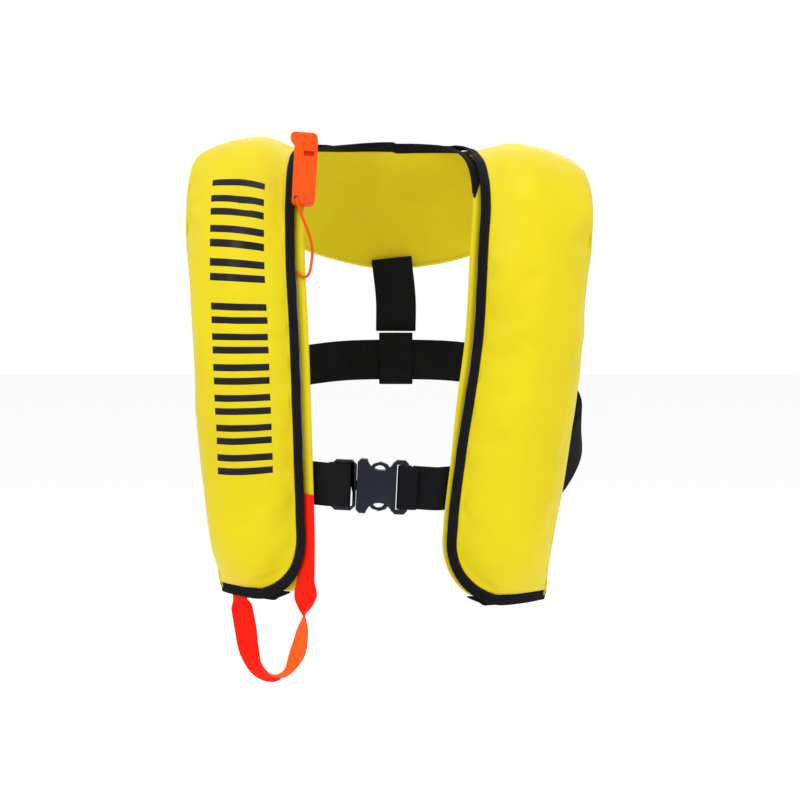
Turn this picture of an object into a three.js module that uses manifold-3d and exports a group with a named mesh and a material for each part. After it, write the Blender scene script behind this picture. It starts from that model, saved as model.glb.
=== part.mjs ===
// Inflatable life jacket, worn: a folded horseshoe of two front lobes joined behind the neck,
// a waist belt with a side-release buckle, and the gas inflator, oral tube and whistle it carries.
// Millimetres, +Z up, the front faces -Y and +X is to the right of someone looking at the front.
// The origin is the centre of the neck opening, level with the top of the shoulders.
import * as THREE from 'three';
import { mergeVertices } from 'three/addons/utils/BufferGeometryUtils.js';
import Module from 'manifold-3d';

const wasm = await Module();
wasm.setup();

// ---------------------------------------------------------------- driving dimensions
const JACKET_WIDTH = 348; // across both lobes
const BODY_DEPTH = 230; // chest to back of the wearer
const LOBE_DROP = 402; // top of the shoulder to the bottom of a lobe
const LOBE_WIDTH = 110; // across one lobe, edge to fold, along the cloth
const LOBE_THICKNESS = 30; // packed thickness of the right lobe
const COLLAR_THICKNESS = 25;
const CHEST_ARCH = 6; // how far the lining bows over the chest, edge to fold
const CORNER_RADIUS = 46; // rounded inner bottom corner of each lobe
const CLOTH = 1.2; // coated cover and lining cloth
const CLEAR = 0.5; // between neighbouring layers
const RIM = 18; // flat margin of the cover that the closure holds
const CLOSED_HEIGHT = 5.8; // outer face of that margin above the lining's back
const FOLD_INSET = 6; // hinge line of a flap, in from the lobe's outer edge
const FOLD_HEIGHT_LOW = 6.5; // hinge line above the lining at the bottom of the lobe
const FOLD_HEIGHT_HIGH = 15; // and at the top of the flap
const FLAP_LENGTH = LOBE_DROP - 94; // the part of a lobe's cover that opens, from the bottom
const SHOULDER = LOBE_DROP - 30; // where the front linings and bladders meet those of the collar
const COVER_SEAM = LOBE_DROP + 10; // where the shoulder covers meet the collar cover
const BINDING_WIDTH = 9;
const CLOSURE_WIDTH = 14; // hook and loop tapes
const CLOSURE_THICKNESS = 0.9;
const NECK_MARGIN = 16; // lining beyond the cover's edge, at the shoulder and collar
const FRONT_MARGIN = 7; // and on the front of a lobe
const BLADDER_CLEAR = 3; // between the folded bladder and the cover
const BELT_HEIGHT = 105; // belt centre above the bottom of the left lobe
const WEB_WIDTH = 38; // belt webbing
const WEB_THICKNESS = 1.8;
const BACK_RISE = 97; // how much higher the belt passes behind the wearer
const BELT_REACH = 168; // half of the belt's width round the wearer
const BELT_CLEAR = 3.9; // behind a lining
const TUNNEL_CLEAR = 2.4; // round the belt in its tunnel
const BUCKLE_LENGTH = 67;
const BUCKLE_HEIGHT = WEB_WIDTH + 9;
const BUCKLE_THICKNESS = 12;
const BUCKLE_SHIFT = -7.7; // centre of the buckle, from midway between the lobes
const BUCKLE_TILT = -0.048; // the belt falls to the right, radians
const PRONG_REACH = 28;
const STRAP_WIDTH = 20; // red pull strap
const STRAP_THICKNESS = 1.6;
const STRAP_HANG = 68; // how far its loop hangs below the lobe
const BLADDER_BASE = 2.6; // back of the folded bladder above the lining's back
const CHANNEL_BASE = 6; // front of its back layer, where the inflator and the tube lie
const INFLATOR_HEIGHT = 88; // middle of the inflator above the bottom of the left lobe
const INFLATOR_ACROSS = LOBE_WIDTH / 2 + 1; // and in from the lobe's inner edge
const INFLATOR_WIDTH = 30;
const INFLATOR_DEPTH = 20;
const INFLATOR_LENGTH = 46;
const FLANGE_BASE = 7.1; // back of the round flange above the lining's back
const FLANGE_THICKNESS = 1;
const CYLINDER_DIAMETER = 25;
const CYLINDER_LENGTH = 112;
const SEAT = 0.3; // between a fitting and what it lies on
// Packed thickness of the left lobe, over the gas cylinder.
const INFLATOR_THICKNESS = FLANGE_BASE + FLANGE_THICKNESS + 2 * SEAT + CYLINDER_DIAMETER + CLOTH + 2.4;
const LEVER_ARM = 10;
const LEVER_THICKNESS = 3;
const LEVER_HUB = 4.6; // radius
const LEVER_HEIGHT = 4; // its pin above the middle of the inflator
const CAP_RADIUS = 10.5; // inflator's screw cap
const CAP_LENGTH = 17;
const TUBE_DIAMETER = 11; // oral inflation tube
const TUBE_LENGTH = 96;
const TUBE_HEIGHT = 70; // its lower end above the bottom of the right lobe
const TUBE_ACROSS = LOBE_WIDTH / 2 - 3;
const VALVE_DIAMETER = 16;
const WHISTLE_WIDTH = 20;
const WHISTLE_DEPTH = 9;
const WHISTLE_LENGTH = 66;
const WHISTLE_FOOT = LOBE_DROP - 58; // its lower end above the bottom of the left lobe
const LANYARD_DIAMETER = 2.4;

// ---------------------------------------------------------------- colours
const YELLOW = { color: 0xf0de10, roughness: 0.55, metalness: 0 };
const BLACK_TAPE = { color: 0x15151a, roughness: 0.8, metalness: 0 };
const BLACK_WEB = { color: 0x1b1b20, roughness: 0.85, metalness: 0 };
const BLACK_PLASTIC = { color: 0x1c2030, roughness: 0.3, metalness: 0 };
const ORANGE = { color: 0xff5a00, roughness: 0.4, metalness: 0 };
const RED_WEB = { color: 0xff2a10, roughness: 0.75, metalness: 0 };
const BLADDER_CLOTH = { color: 0xf2b705, roughness: 0.5, metalness: 0 };
const GREY_TAPE = { color: 0x9a9aa0, roughness: 0.9, metalness: 0 };
const STEEL = { color: 0x9ea2a6, roughness: 0.35, metalness: 1 };
const SILVER = { color: 0xc8ccd0, roughness: 0.3, metalness: 0.2 };
const GREEN = { color: 0x1f9c3a, roughness: 0.4, metalness: 0 };

const group = new THREE.Group();
const vec = (x, y, z) => new THREE.Vector3(x, y, z);
const mix = (a, b, share) => a + (b - a) * share;
const clamp01 = (x) => Math.min(1, Math.max(0, x));
const easeIn = (x) => Math.sin((Math.PI / 2) * clamp01(x)) ** 0.8;

// ---------------------------------------------------------------- solids
function addMesh(name, geometry, look, matrix) {
  const mesh = new THREE.Mesh(geometry, new THREE.MeshStandardMaterial(look));
  mesh.name = name;
  if (matrix) mesh.applyMatrix4(matrix);
  group.add(mesh);
  return mesh;
}

// Only shared positions are kept, so that each mesh is one closed surface.
function weld(geometry) {
  const bare = geometry.clone();
  for (const key of ['normal', 'uv', 'uv1', 'color']) bare.deleteAttribute(key);
  return mergeVertices(bare, 1e-4);
}

function signedVolume(points, faces) {
  const [a, b, c] = [vec(0, 0, 0), vec(0, 0, 0), vec(0, 0, 0)];
  let sum = 0;
  for (let i = 0; i < faces.length; i += 3) {
    a.fromArray(points, faces[i] * 3);
    b.fromArray(points, faces[i + 1] * 3);
    c.fromArray(points, faces[i + 2] * 3);
    sum += a.dot(b.cross(c)) / 6;
  }
  return sum;
}

// A closed sheet between two grids of points, [row][column], outer face and inner face.
function sheet(outer, inner) {
  const rows = outer.length;
  const columns = outer[0].length;
  const points = [...outer.flat(), ...inner.flat()].flatMap((p) => [p.x, p.y, p.z]);
  const faces = [];
  const at = (layer, row, column) => layer * rows * columns + row * columns + column;
  const quad = (a, b, c, d) => faces.push(a, b, c, a, c, d);
  for (let r = 0; r < rows - 1; r += 1) {
    for (let c = 0; c < columns - 1; c += 1) {
      quad(at(0, r, c), at(0, r, c + 1), at(0, r + 1, c + 1), at(0, r + 1, c));
      quad(at(1, r, c), at(1, r + 1, c), at(1, r + 1, c + 1), at(1, r, c + 1));
    }
    quad(at(0, r, 0), at(0, r + 1, 0), at(1, r + 1, 0), at(1, r, 0));
    const last = columns - 1;
    quad(at(0, r + 1, last), at(0, r, last), at(1, r, last), at(1, r + 1, last));
  }
  for (let c = 0; c < columns - 1; c += 1) {
    quad(at(0, 0, c + 1), at(0, 0, c), at(1, 0, c), at(1, 0, c + 1));
    const last = rows - 1;
    quad(at(0, last, c), at(0, last, c + 1), at(1, last, c + 1), at(1, last, c));
  }
  if (signedVolume(points, faces) < 0) faces.reverse();
  const geometry = new THREE.BufferGeometry();
  geometry.setAttribute('position', new THREE.Float32BufferAttribute(points, 3));
  geometry.setIndex(faces);
  return geometry;
}

function toSolid(geometry) {
  const welded = weld(geometry);
  return new wasm.Manifold(
    new wasm.Mesh({
      numProp: 3,
      vertProperties: new Float32Array(welded.attributes.position.array),
      triVerts: new Uint32Array(welded.index.array),
    }),
  );
}

function fromSolid(solid) {
  const mesh = solid.getMesh();
  const geometry = new THREE.BufferGeometry();
  geometry.setAttribute('position', new THREE.BufferAttribute(mesh.vertProperties, 3));
  geometry.setIndex(new THREE.BufferAttribute(mesh.triVerts, 1));
  return geometry;
}

function combine(first, { add = [], cut = [] }) {
  let solid = toSolid(first);
  for (const other of add) solid = solid.add(toSolid(other));
  for (const other of cut) solid = solid.subtract(toSolid(other));
  return fromSolid(solid);
}

const box = (x0, x1, y0, y1, z0, z1) =>
  new THREE.BoxGeometry(x1 - x0, y1 - y0, z1 - z0).translate((x0 + x1) / 2, (y0 + y1) / 2, (z0 + z1) / 2);

// A plate whose outline is drawn in X and Z, with its thickness along Y.
function plate(outline, y0, y1, holes = []) {
  const shape = new THREE.Shape(outline.map(([x, z]) => new THREE.Vector2(x, z)));
  const flat = new THREE.ExtrudeGeometry(shape, { depth: y1 - y0, bevelEnabled: false });
  const whole = weld(flat.rotateX(Math.PI / 2).translate(0, y1, 0));
  if (!holes.length) return whole;
  return combine(whole, { cut: holes.map((hole) => plate(hole, y0 - 1, y1 + 1)) });
}

const rectangle = (x0, x1, z0, z1) => [[x0, z0], [x1, z0], [x1, z1], [x0, z1]];

// A rectangle with its corners cut at 45 degrees.
function chamfered(x0, x1, z0, z1, cut) {
  return [
    [x0 + cut, z0], [x1 - cut, z0], [x1, z0 + cut], [x1, z1 - cut],
    [x1 - cut, z1], [x0 + cut, z1], [x0, z1 - cut], [x0, z0 + cut],
  ];
}

// A turned piece: radii and heights along its axis, +Z.
function turned(profile, sides = 16) {
  return new THREE.LatheGeometry(profile.map(([r, z]) => new THREE.Vector2(r, z)), sides).rotateX(Math.PI / 2);
}

// ---------------------------------------------------------------- the horseshoe
// The medium pattern: the inner edge of the lining as it lies on the wearer, from the left lobe's
// bottom over the shoulder, behind the neck and down to the right lobe's bottom, the direction
// from there to the outer edge, and the lobe's width there as a share of its full width.
const MEDIUM = { width: 348, depth: 230, drop: 402 };
const PATTERN = [
  [[-74, -116, -402], [-72, 60, 3], 0.89],
  [[-75, -118, -340], [-79, 66, 0], 0.95],
  [[-77, -120, -270], [-86, 67, 0], 1],
  [[-80, -120, -175], [-89, 66, 0], 1],
  [[-84, -110, -95], [-89, 62, 2], 1],
  [[-85, -87, -48], [-88, 55, -4], 0.98],
  [[-84, -54, -20], [-91, 44, -12], 0.93],
  [[-79, -12, -8], [-96, 24, -20], 0.88],
  [[-66, 24, -5], [-95, 18, -37], 0.92],
  [[-48, 52, -4], [-84, 22, -70], 1],
  [[-25, 70, -3], [-57, 28, -100], 1.06],
  [[0, 77, -3], [0, 33, -115], 1.08],
  [[25, 70, -3], [57, 28, -100], 1.06],
  [[44, 52, -4], [84, 22, -72], 1.02],
  [[55, 24, -6], [97, 18, -44], 0.98],
  [[62, -12, -10], [101, 22, -30], 0.96],
  [[69, -54, -22], [99, 42, -22], 0.97],
  [[72, -87, -48], [95, 51, -12], 0.98],
  [[69, -110, -95], [94, 58, -5], 1],
  [[64, -120, -175], [93, 59, 0], 1],
  [[50, -120, -270], [96, 55, 0], 1],
  [[42, -118, -345], [93, 54, 0], 0.98],
  [[44, -116, -405], [82, 58, 0], 0.93],
];
const grade = vec(JACKET_WIDTH / MEDIUM.width, BODY_DEPTH / MEDIUM.depth, LOBE_DROP / MEDIUM.drop);
const innerPoints = PATTERN.map(([at]) => vec(...at).multiply(grade));
const outerPoints = PATTERN.map(([, across, share], i) =>
  innerPoints[i].clone().addScaledVector(vec(...across).normalize(), share * LOBE_WIDTH));
const innerEdge = new THREE.CatmullRomCurve3(innerPoints, false, 'centripetal');
const outerEdge = new THREE.CatmullRomCurve3(outerPoints, false, 'centripetal');

// Length along the middle of the horseshoe, so that places on it are given in millimetres.
const FINE = 880;
const middle = (share) => innerEdge.getPoint(share).lerp(outerEdge.getPoint(share), 0.5);
const lengths = [0];
for (let i = 1; i <= FINE; i += 1) {
  lengths.push(lengths[i - 1] + middle(i / FINE).distanceTo(middle((i - 1) / FINE)));
}
const TOTAL = lengths[FINE];

function shareAt(along) {
  let i = 1;
  while (i < FINE && lengths[i] < along) i += 1;
  return (i - 1 + (along - lengths[i - 1]) / (lengths[i] - lengths[i - 1])) / FINE;
}

// The lobe's own axes at a length along it: from its inner edge across, outwards, and along.
function frameAt(along) {
  const share = shareAt(along);
  const step = 1e-3;
  const ahead = middle(Math.min(1, share + step));
  const back = middle(Math.max(0, share - step));
  const origin = innerEdge.getPoint(share);
  const across = outerEdge.getPoint(share).sub(origin);
  const width = across.length();
  across.normalize();
  const out = ahead.sub(back).cross(across).normalize();
  return { origin, across, out, along: across.clone().cross(out).normalize(), width };
}

// The lining is flat under the closed margin and bows out between it and the fold.
function arch(s, width) {
  const share = clamp01((s - RIM) / (width - RIM));
  return CHEST_ARCH * 4 * share * (1 - share);
}

// A point on the jacket: along the horseshoe, s across from its inner edge, n out from the lining.
function place(along, s, n) {
  const { origin, across, out, width } = frameAt(along);
  return origin.addScaledVector(across, s).addScaledVector(out, n + arch(s, width));
}

const LEFT = { name: 'left', at: (d) => d, sign: 1 };
const RIGHT = { name: 'right', at: (d) => TOTAL - d, sign: -1 };

// The straight hinge line of each flap, and where it crosses the lobe at any height.
for (const side of [LEFT, RIGHT]) {
  const low = frameAt(side.at(0));
  const high = frameAt(side.at(FLAP_LENGTH));
  side.hingeLow = place(side.at(0), low.width - FOLD_INSET, FOLD_HEIGHT_LOW);
  side.hingeHigh = place(side.at(FLAP_LENGTH), high.width - FOLD_INSET, FOLD_HEIGHT_HIGH);
  side.hingeAxis = side.hingeHigh.clone().sub(side.hingeLow).normalize();
}

function foldAt(along) {
  const d = Math.min(along, TOTAL - along);
  const side = along < TOTAL / 2 ? LEFT : RIGHT;
  const { origin, across, out, along: forward, width } = frameAt(along);
  if (d >= FLAP_LENGTH) {
    const settle = clamp01((d - FLAP_LENGTH) / 120);
    return [width - FOLD_INSET, mix(FOLD_HEIGHT_HIGH, COLLAR_THICKNESS / 2, settle)];
  }
  const gap = origin.clone().sub(side.hingeLow).dot(forward) / side.hingeAxis.dot(forward);
  const hit = side.hingeLow.clone().addScaledVector(side.hingeAxis, gap).sub(origin);
  const s = hit.dot(across);
  return [s, hit.dot(out) - arch(s, width)];
}

// Packed thickness of the jacket along the horseshoe.
function thicknessAt(along) {
  const d = Math.min(along, TOTAL - along);
  const front = along < TOTAL / 2 ? INFLATOR_THICKNESS : LOBE_THICKNESS;
  const over = clamp01((d - (SHOULDER - 137)) / 110);
  const full = mix(front, COLLAR_THICKNESS, over * over * (3 - 2 * over));
  return mix(CLOSED_HEIGHT, full, easeIn((d - RIM) / 42));
}

// Outer face of the cover above the lining, at s across, for a cover whose edge is at start.
function coverHeight(along, s, start) {
  const [fold, foldHeight] = foldAt(along);
  const half = (fold - start) / 2;
  const x = s - start;
  const top = thicknessAt(along);
  if (x <= RIM) return CLOSED_HEIGHT;
  if (x <= half) return mix(CLOSED_HEIGHT, top, easeIn((x - RIM) / (half - RIM)));
  const fall = Math.cos((Math.PI / 2) * clamp01((x - half) / half)) ** 0.5;
  return mix(foldHeight, Math.max(top, foldHeight), fall);
}

// Where the rounded bottom corner puts the edge, a margin in from the outline.
function cornerStart(d, margin) {
  const radius = CORNER_RADIUS - margin;
  const rise = CORNER_RADIUS - Math.max(d, margin);
  if (rise <= 0) return margin;
  return CORNER_RADIUS - Math.sqrt(Math.max(0, radius * radius - rise * rise));
}

const LOW_ROWS = [9, 12, 16, 21, 27, 35, 46, 60, 78];
const ROW_STEP = 25;

// Rows from one end to the other, on marks that all layers share.
function rowsBetween(start, end) {
  const marks = [...LOW_ROWS];
  for (let d = 100; d < TOTAL / 2; d += ROW_STEP) marks.push(d);
  const both = [...marks, ...marks.map((d) => TOTAL - d), TOTAL / 2];
  const between = both.filter((d) => d > start + 2 && d < end - 2).sort((a, b) => a - b);
  return [start, ...between, end];
}

const span = (count) => Array.from({ length: count + 1 }, (_, i) => i / count);

// A layer of the jacket: outer and inner say [s, n] at a length along and a share across.
function layer(start, end, columns, outer, inner, finish = (p) => p) {
  const rows = rowsBetween(start, end);
  const grid = (face) => rows.map((along) => columns.map((f) => finish(place(along, ...face(along, f)), along)));
  return sheet(grid(outer), grid(inner));
}

// A side's range of lengths, given from its bottom.
const range = (side, low, high) => [side.at(low), side.at(high)].sort((a, b) => a - b);
const fromBottom = (along) => Math.min(along, TOTAL - along);

// ---------------------------------------------------------------- lining
function liningStart(along) {
  const d = fromBottom(along);
  const margin = mix(FRONT_MARGIN, NECK_MARGIN, clamp01((d - (SHOULDER - 172)) / 120));
  return Math.max(cornerStart(d, 0) - FRONT_MARGIN, -margin);
}

function lining(name, start, end, extra = 0) {
  const face = (n) => (along, f) => {
    const s0 = liningStart(along) + extra;
    const flat = Math.max(RIM, s0 + CLEAR);
    return [f < 0.2 ? mix(s0, flat, f / 0.2) : mix(flat, foldAt(along)[0], (f - 0.2) / 0.8), n];
  };
  addMesh(name, layer(start, end, span(5), face(CLOTH), face(0)), YELLOW);
}

lining('lining_left', ...range(LEFT, BINDING_WIDTH + CLEAR, SHOULDER - CLEAR));
lining('lining_right', ...range(RIGHT, BINDING_WIDTH + CLEAR, SHOULDER - CLEAR));
lining('lining_collar', SHOULDER, TOTAL - SHOULDER, BINDING_WIDTH + CLEAR);

// Black tape on the neck edge of the collar lining.
{
  const face = (n) => (along, f) => [liningStart(along) + f * BINDING_WIDTH, n];
  const tape = layer(SHOULDER, TOTAL - SHOULDER, [0, 1], face(CLOTH + 0.3), face(-0.3));
  addMesh('binding_neck', tape, BLACK_TAPE);
}

// Black tape on the bottom edge of each front lining.
for (const side of [LEFT, RIGHT]) {
  const face = (n) => (along, f) => {
    const d = Math.max(fromBottom(along), 2);
    return [mix(Math.max(cornerStart(d, 0) - FRONT_MARGIN, 0), foldAt(along)[0], f), n];
  };
  const tape = layer(...range(side, 0, BINDING_WIDTH), span(4), face(CLOTH + 0.1), face(-0.3));
  addMesh(`binding_lining_${side.name}`, tape, BLACK_TAPE);
}

// ---------------------------------------------------------------- cover
// The front flap opens about its hinge line, so its top is cut square to that line.
function squareTo(side, shift) {
  const at = side.hingeHigh.clone().addScaledVector(side.hingeAxis, shift);
  return (p) => p.addScaledVector(side.hingeAxis, at.clone().sub(p).dot(side.hingeAxis));
}

const FLAP_COLUMNS = [0, 0.1, 0.16, 0.25, 0.36, 0.5, 0.64, 0.78, 0.9, 1];
const coverStart = (along) => cornerStart(fromBottom(along), BINDING_WIDTH) + 2 * CLEAR;

function coverFace(drop, startAt) {
  return (along, f) => {
    const start = startAt(along);
    const s = mix(start, foldAt(along)[0] - CLEAR, f);
    return [s, coverHeight(along, s, start - BINDING_WIDTH) - drop];
  };
}

for (const side of [LEFT, RIGHT]) {
  const cutTop = squareTo(side, -CLEAR);
  const finish = (p, along) => (Math.abs(fromBottom(along) - FLAP_LENGTH) < 0.01 ? cutTop(p) : p);
  const [start, end] = range(side, BINDING_WIDTH + 2 * CLEAR, FLAP_LENGTH);
  const outer = coverFace(0, coverStart);
  const inner = coverFace(CLOTH, coverStart);
  addMesh(`cover_flap_${side.name}`, layer(start, end, FLAP_COLUMNS, outer, inner, finish), YELLOW);
}

// The cover over the shoulders and behind the neck is fixed.
function fixedCover(name, start, end, finish) {
  const outer = coverFace(0, coverStart);
  const inner = coverFace(CLOTH, coverStart);
  addMesh(name, layer(start, end, FLAP_COLUMNS, outer, inner, finish), YELLOW);
}
for (const side of [LEFT, RIGHT]) {
  const cutLow = squareTo(side, CLEAR);
  const finish = (p, along) => (Math.abs(fromBottom(along) - FLAP_LENGTH) < 0.01 ? cutLow(p) : p);
  fixedCover(`cover_shoulder_${side.name}`, ...range(side, FLAP_LENGTH, COVER_SEAM - CLEAR), finish);
}
fixedCover('cover_collar', COVER_SEAM, TOTAL - COVER_SEAM);

// The outer side of the cover: a narrow wall round the fold, from the hinge line to the lining.
function gusset(name, start, end) {
  const face = (drop) => (along, f) => {
    const [fold, height] = foldAt(along);
    const bulge = Math.max(frameAt(along).width - fold, 3) + 1 - drop;
    const half = height / 2;
    const angle = Math.PI * f;
    return [fold + CLEAR + bulge * Math.sin(angle), half + (half - drop) * Math.cos(angle)];
  };
  addMesh(name, layer(start, end, span(6), face(0), face(CLOTH)), YELLOW);
}
gusset('cover_side_left', ...range(LEFT, 0, COVER_SEAM - CLEAR));
gusset('cover_side_right', ...range(RIGHT, 0, COVER_SEAM - CLEAR));
gusset('cover_side_collar', COVER_SEAM, TOTAL - COVER_SEAM);

// Black tape round the flap's free edge: down the inner edge, round the corner, along the bottom.
function flapBinding(side) {
  const inset = BINDING_WIDTH;
  const edge = [];
  for (const d of rowsBetween(0, FLAP_LENGTH).filter((d) => d > CORNER_RADIUS).reverse()) {
    edge.push([[d, 0], [d, inset]]);
  }
  for (const share of span(8)) {
    const turn = (Math.PI / 2) * share;
    const [c, s] = [Math.cos(turn), Math.sin(turn)];
    const radius = CORNER_RADIUS - inset;
    edge.push([
      [CORNER_RADIUS - CORNER_RADIUS * s, CORNER_RADIUS - CORNER_RADIUS * c],
      [CORNER_RADIUS - radius * s, CORNER_RADIUS - radius * c],
    ]);
  }
  const fold = foldAt(side.at(0))[0] - CLEAR;
  for (const share of span(4).slice(1)) {
    const s = mix(CORNER_RADIUS, fold, share);
    edge.push([[0, s], [inset, s]]);
  }
  const top = squareTo(side, -CLEAR);
  const face = (n) => edge.map((pair, i) => pair.map(([d, s]) => {
    const p = place(side.at(d), s, n);
    return i === 0 ? top(p) : p;
  }));
  return sheet(face(CLOSED_HEIGHT + 0.3), face(CLOSED_HEIGHT - CLOTH - 0.1));
}
addMesh('binding_flap_left', flapBinding(LEFT), BLACK_TAPE);
addMesh('binding_flap_right', flapBinding(RIGHT), BLACK_TAPE);

// The same tape goes on over the shoulders and round the collar.
{
  const face = (n) => (along, f) => [f * BINDING_WIDTH, n];
  const tops = { [FLAP_LENGTH]: squareTo(LEFT, CLEAR), [TOTAL - FLAP_LENGTH]: squareTo(RIGHT, CLEAR) };
  const finish = (p, along) => (tops[along] ? tops[along](p) : p);
  const tape = layer(FLAP_LENGTH, TOTAL - FLAP_LENGTH, [0, 1],
    face(CLOSED_HEIGHT + 0.3), face(CLOSED_HEIGHT - CLOTH - 0.1), finish);
  addMesh('binding_collar', tape, BLACK_TAPE);
}

// Hook and loop tapes that hold the flap's edge to the lining. On the left lobe they stop above
// the pull strap.
const LOOP_BASE = CLOTH + 0.3;
const HOOK_BASE = LOOP_BASE + CLOSURE_THICKNESS + 0.3;
const CLOSURE_LOW = { left: BELT_HEIGHT + 22, right: 50 };
for (const side of [LEFT, RIGHT]) {
  const face = (n) => (along, f) => [2 + f * CLOSURE_WIDTH, n];
  const reach = range(side, CLOSURE_LOW[side.name], FLAP_LENGTH - 8);
  const loop = layer(...reach, [0, 1], face(LOOP_BASE + CLOSURE_THICKNESS - 0.15), face(LOOP_BASE - 0.15));
  addMesh(`loop_tape_${side.name}`, loop, GREY_TAPE);
  const hook = layer(...reach, [0, 1], face(HOOK_BASE + CLOSURE_THICKNESS - 0.35), face(HOOK_BASE - 0.35));
  addMesh(`hook_tape_${side.name}`, hook, GREY_TAPE);
}

// ---------------------------------------------------------------- folded bladder
// The bladder lies folded under the cover. A channel down to its back layer holds the inflator
// on the left and the oral tube on the right.
const CHANNELS = {
  left: { low: 0, high: 240, from: INFLATOR_ACROSS - 21, to: INFLATOR_ACROSS + 17, bare: 126 },
  right: { low: TUBE_HEIGHT - 15, high: TUBE_HEIGHT + 150, from: TUBE_ACROSS - 20, to: TUBE_ACROSS + 18, bare: 0 },
};
const FOLD_END = 4; // bladder's edge in from the hinge line

function bladderColumns(along) {
  const { from, to } = CHANNELS[along < TOTAL / 2 ? 'left' : 'right'];
  const last = foldAt(along)[0] - FOLD_END;
  return [RIM + 3, mix(RIM + 3, from, 0.5), from, from + 1, (from + to) / 2, to - 1, to, mix(to, last, 0.5), last];
}

function bladderTop(along, s) {
  const { low, high, from, to, bare } = CHANNELS[along < TOTAL / 2 ? 'left' : 'right'];
  const d = fromBottom(along);
  const inChannel = d > low && d < high && s > from && s < to;
  const underLever = d < bare && s <= from;
  if (inChannel || underLever) return CHANNEL_BASE;
  return coverHeight(along, s, coverStart(along) - BINDING_WIDTH) - CLOTH - BLADDER_CLEAR;
}

function bladder(name, start, end) {
  const columns = [0, 1, 2, 3, 4, 5, 6, 7, 8];
  const outer = (along, i) => {
    const s = bladderColumns(along)[i];
    return [s, bladderTop(along, s)];
  };
  const inner = (along, i) => [bladderColumns(along)[i], BLADDER_BASE];
  addMesh(name, layer(start, end, columns, outer, inner), BLADDER_CLOTH);
}
bladder('bladder_left', ...range(LEFT, CORNER_RADIUS - 11, SHOULDER - CLEAR));
bladder('bladder_right', ...range(RIGHT, CORNER_RADIUS - 11, SHOULDER - CLEAR));
bladder('bladder_collar', SHOULDER, TOTAL - SHOULDER);

// Reflective patch on the bladder of each lobe.
for (const [side, low, from] of [[LEFT, FLAP_LENGTH - 46, 34], [RIGHT, FLAP_LENGTH - 58, 34]]) {
  const face = (lift) => (along, f) => {
    const s = from + f * 48;
    return [s, bladderTop(along, s) + lift];
  };
  const patch = layer(...range(side, low, low + 40), span(4), face(1.4), face(0.9));
  addMesh(`reflective_patch_${side.name}`, patch, SILVER);
}

// ---------------------------------------------------------------- fittings in the lobes
// Axes of a fitting in a lobe: X across, Y out from the chest, Z up the lobe.
function fitting(side, d, s, n) {
  const { across, out, along } = frameAt(side.at(d));
  const axes = new THREE.Matrix4().makeBasis(
    across.clone().multiplyScalar(side.sign), out, along.clone().multiplyScalar(side.sign));
  return axes.setPosition(place(side.at(d), s, n));
}

const bodyBase = FLANGE_BASE + FLANGE_THICKNESS + SEAT;
const onFlange = fitting(LEFT, INFLATOR_HEIGHT, INFLATOR_ACROSS, 0);
const cylinderMiddle = INFLATOR_HEIGHT + INFLATOR_LENGTH / 2 + CYLINDER_LENGTH / 2 + 1.5;
const alongCylinder = fitting(LEFT, cylinderMiddle, INFLATOR_ACROSS - 2, 0);
const halfWide = INFLATOR_WIDTH / 2;
const halfLong = INFLATOR_LENGTH / 2;
const leverX = -halfWide - 6;
{
  const base = chamfered(leverX - 6, halfWide + 0.5, -halfLong + 1, halfLong - 1, 8);
  addMesh('inflator_flange', plate(base, FLANGE_BASE, FLANGE_BASE + FLANGE_THICKNESS), ORANGE, onFlange);

  const outline = chamfered(-halfWide, halfWide, -halfLong, halfLong, 4);
  const body = plate(outline, bodyBase, bodyBase + INFLATOR_DEPTH);
  addMesh('inflator_body', body, BLACK_PLASTIC, onFlange);

  const cap = turned(
    [[0, 0], [CAP_RADIUS - 2, 0], [CAP_RADIUS, 2], [CAP_RADIUS, CAP_LENGTH], [0, CAP_LENGTH]], 18);
  cap.translate(0, bodyBase + CAP_RADIUS + SEAT, -halfLong - CAP_LENGTH - 0.4);
  addMesh('inflator_cap', cap, GREEN, onFlange);

  const face = bodyBase + INFLATOR_DEPTH + SEAT;
  const window = turned([[0, 0], [4, 0], [4, 0.8], [3, 1.4], [0, 1.4]], 16);
  addMesh('status_indicator', window.rotateX(-Math.PI / 2).translate(3, face, 9), GREEN, onFlange);

  const radius = CYLINDER_DIAMETER / 2;
  const bottle = turned([
    [0, 0], [6, 0], [6, 5], [radius, 13], [radius, CYLINDER_LENGTH - 12],
    [radius - 3, CYLINDER_LENGTH - 4], [radius - 8, CYLINDER_LENGTH], [0, CYLINDER_LENGTH],
  ], 18);
  bottle.translate(0, bodyBase + SEAT + radius, -CYLINDER_LENGTH / 2);
  addMesh('gas_cylinder', bottle, STEEL, alongCylinder);
}
// The lever that fires the inflator, on its pin, and the cord that pulls it.
{
  const bottom = bodyBase + 0.2;
  const hub = turned([[0, 0], [LEVER_HUB, 0], [LEVER_HUB, LEVER_THICKNESS], [0, LEVER_THICKNESS]], 16)
    .rotateX(-Math.PI / 2).translate(0, bottom, 0);
  const arm = box(-LEVER_ARM, 0, bottom, bottom + LEVER_THICKNESS, -2.6, 2.6);
  const bore = turned([[0, 0], [2.2, 0], [2.2, 9], [0, 9]], 12)
    .rotateX(-Math.PI / 2).translate(0, bottom - 2, 0);
  const lever = combine(hub, { add: [arm], cut: [bore] });
  addMesh('inflator_lever', lever.translate(leverX, 0, LEVER_HEIGHT), RED_WEB, onFlange);

  const pin = turned([[0, 0], [1.7, 0], [1.7, LEVER_THICKNESS + 1], [0, LEVER_THICKNESS + 1]], 12);
  pin.rotateX(-Math.PI / 2).translate(leverX, bottom - 0.1, LEVER_HEIGHT);
  addMesh('lever_pin', pin, STEEL, onFlange);
}

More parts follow.
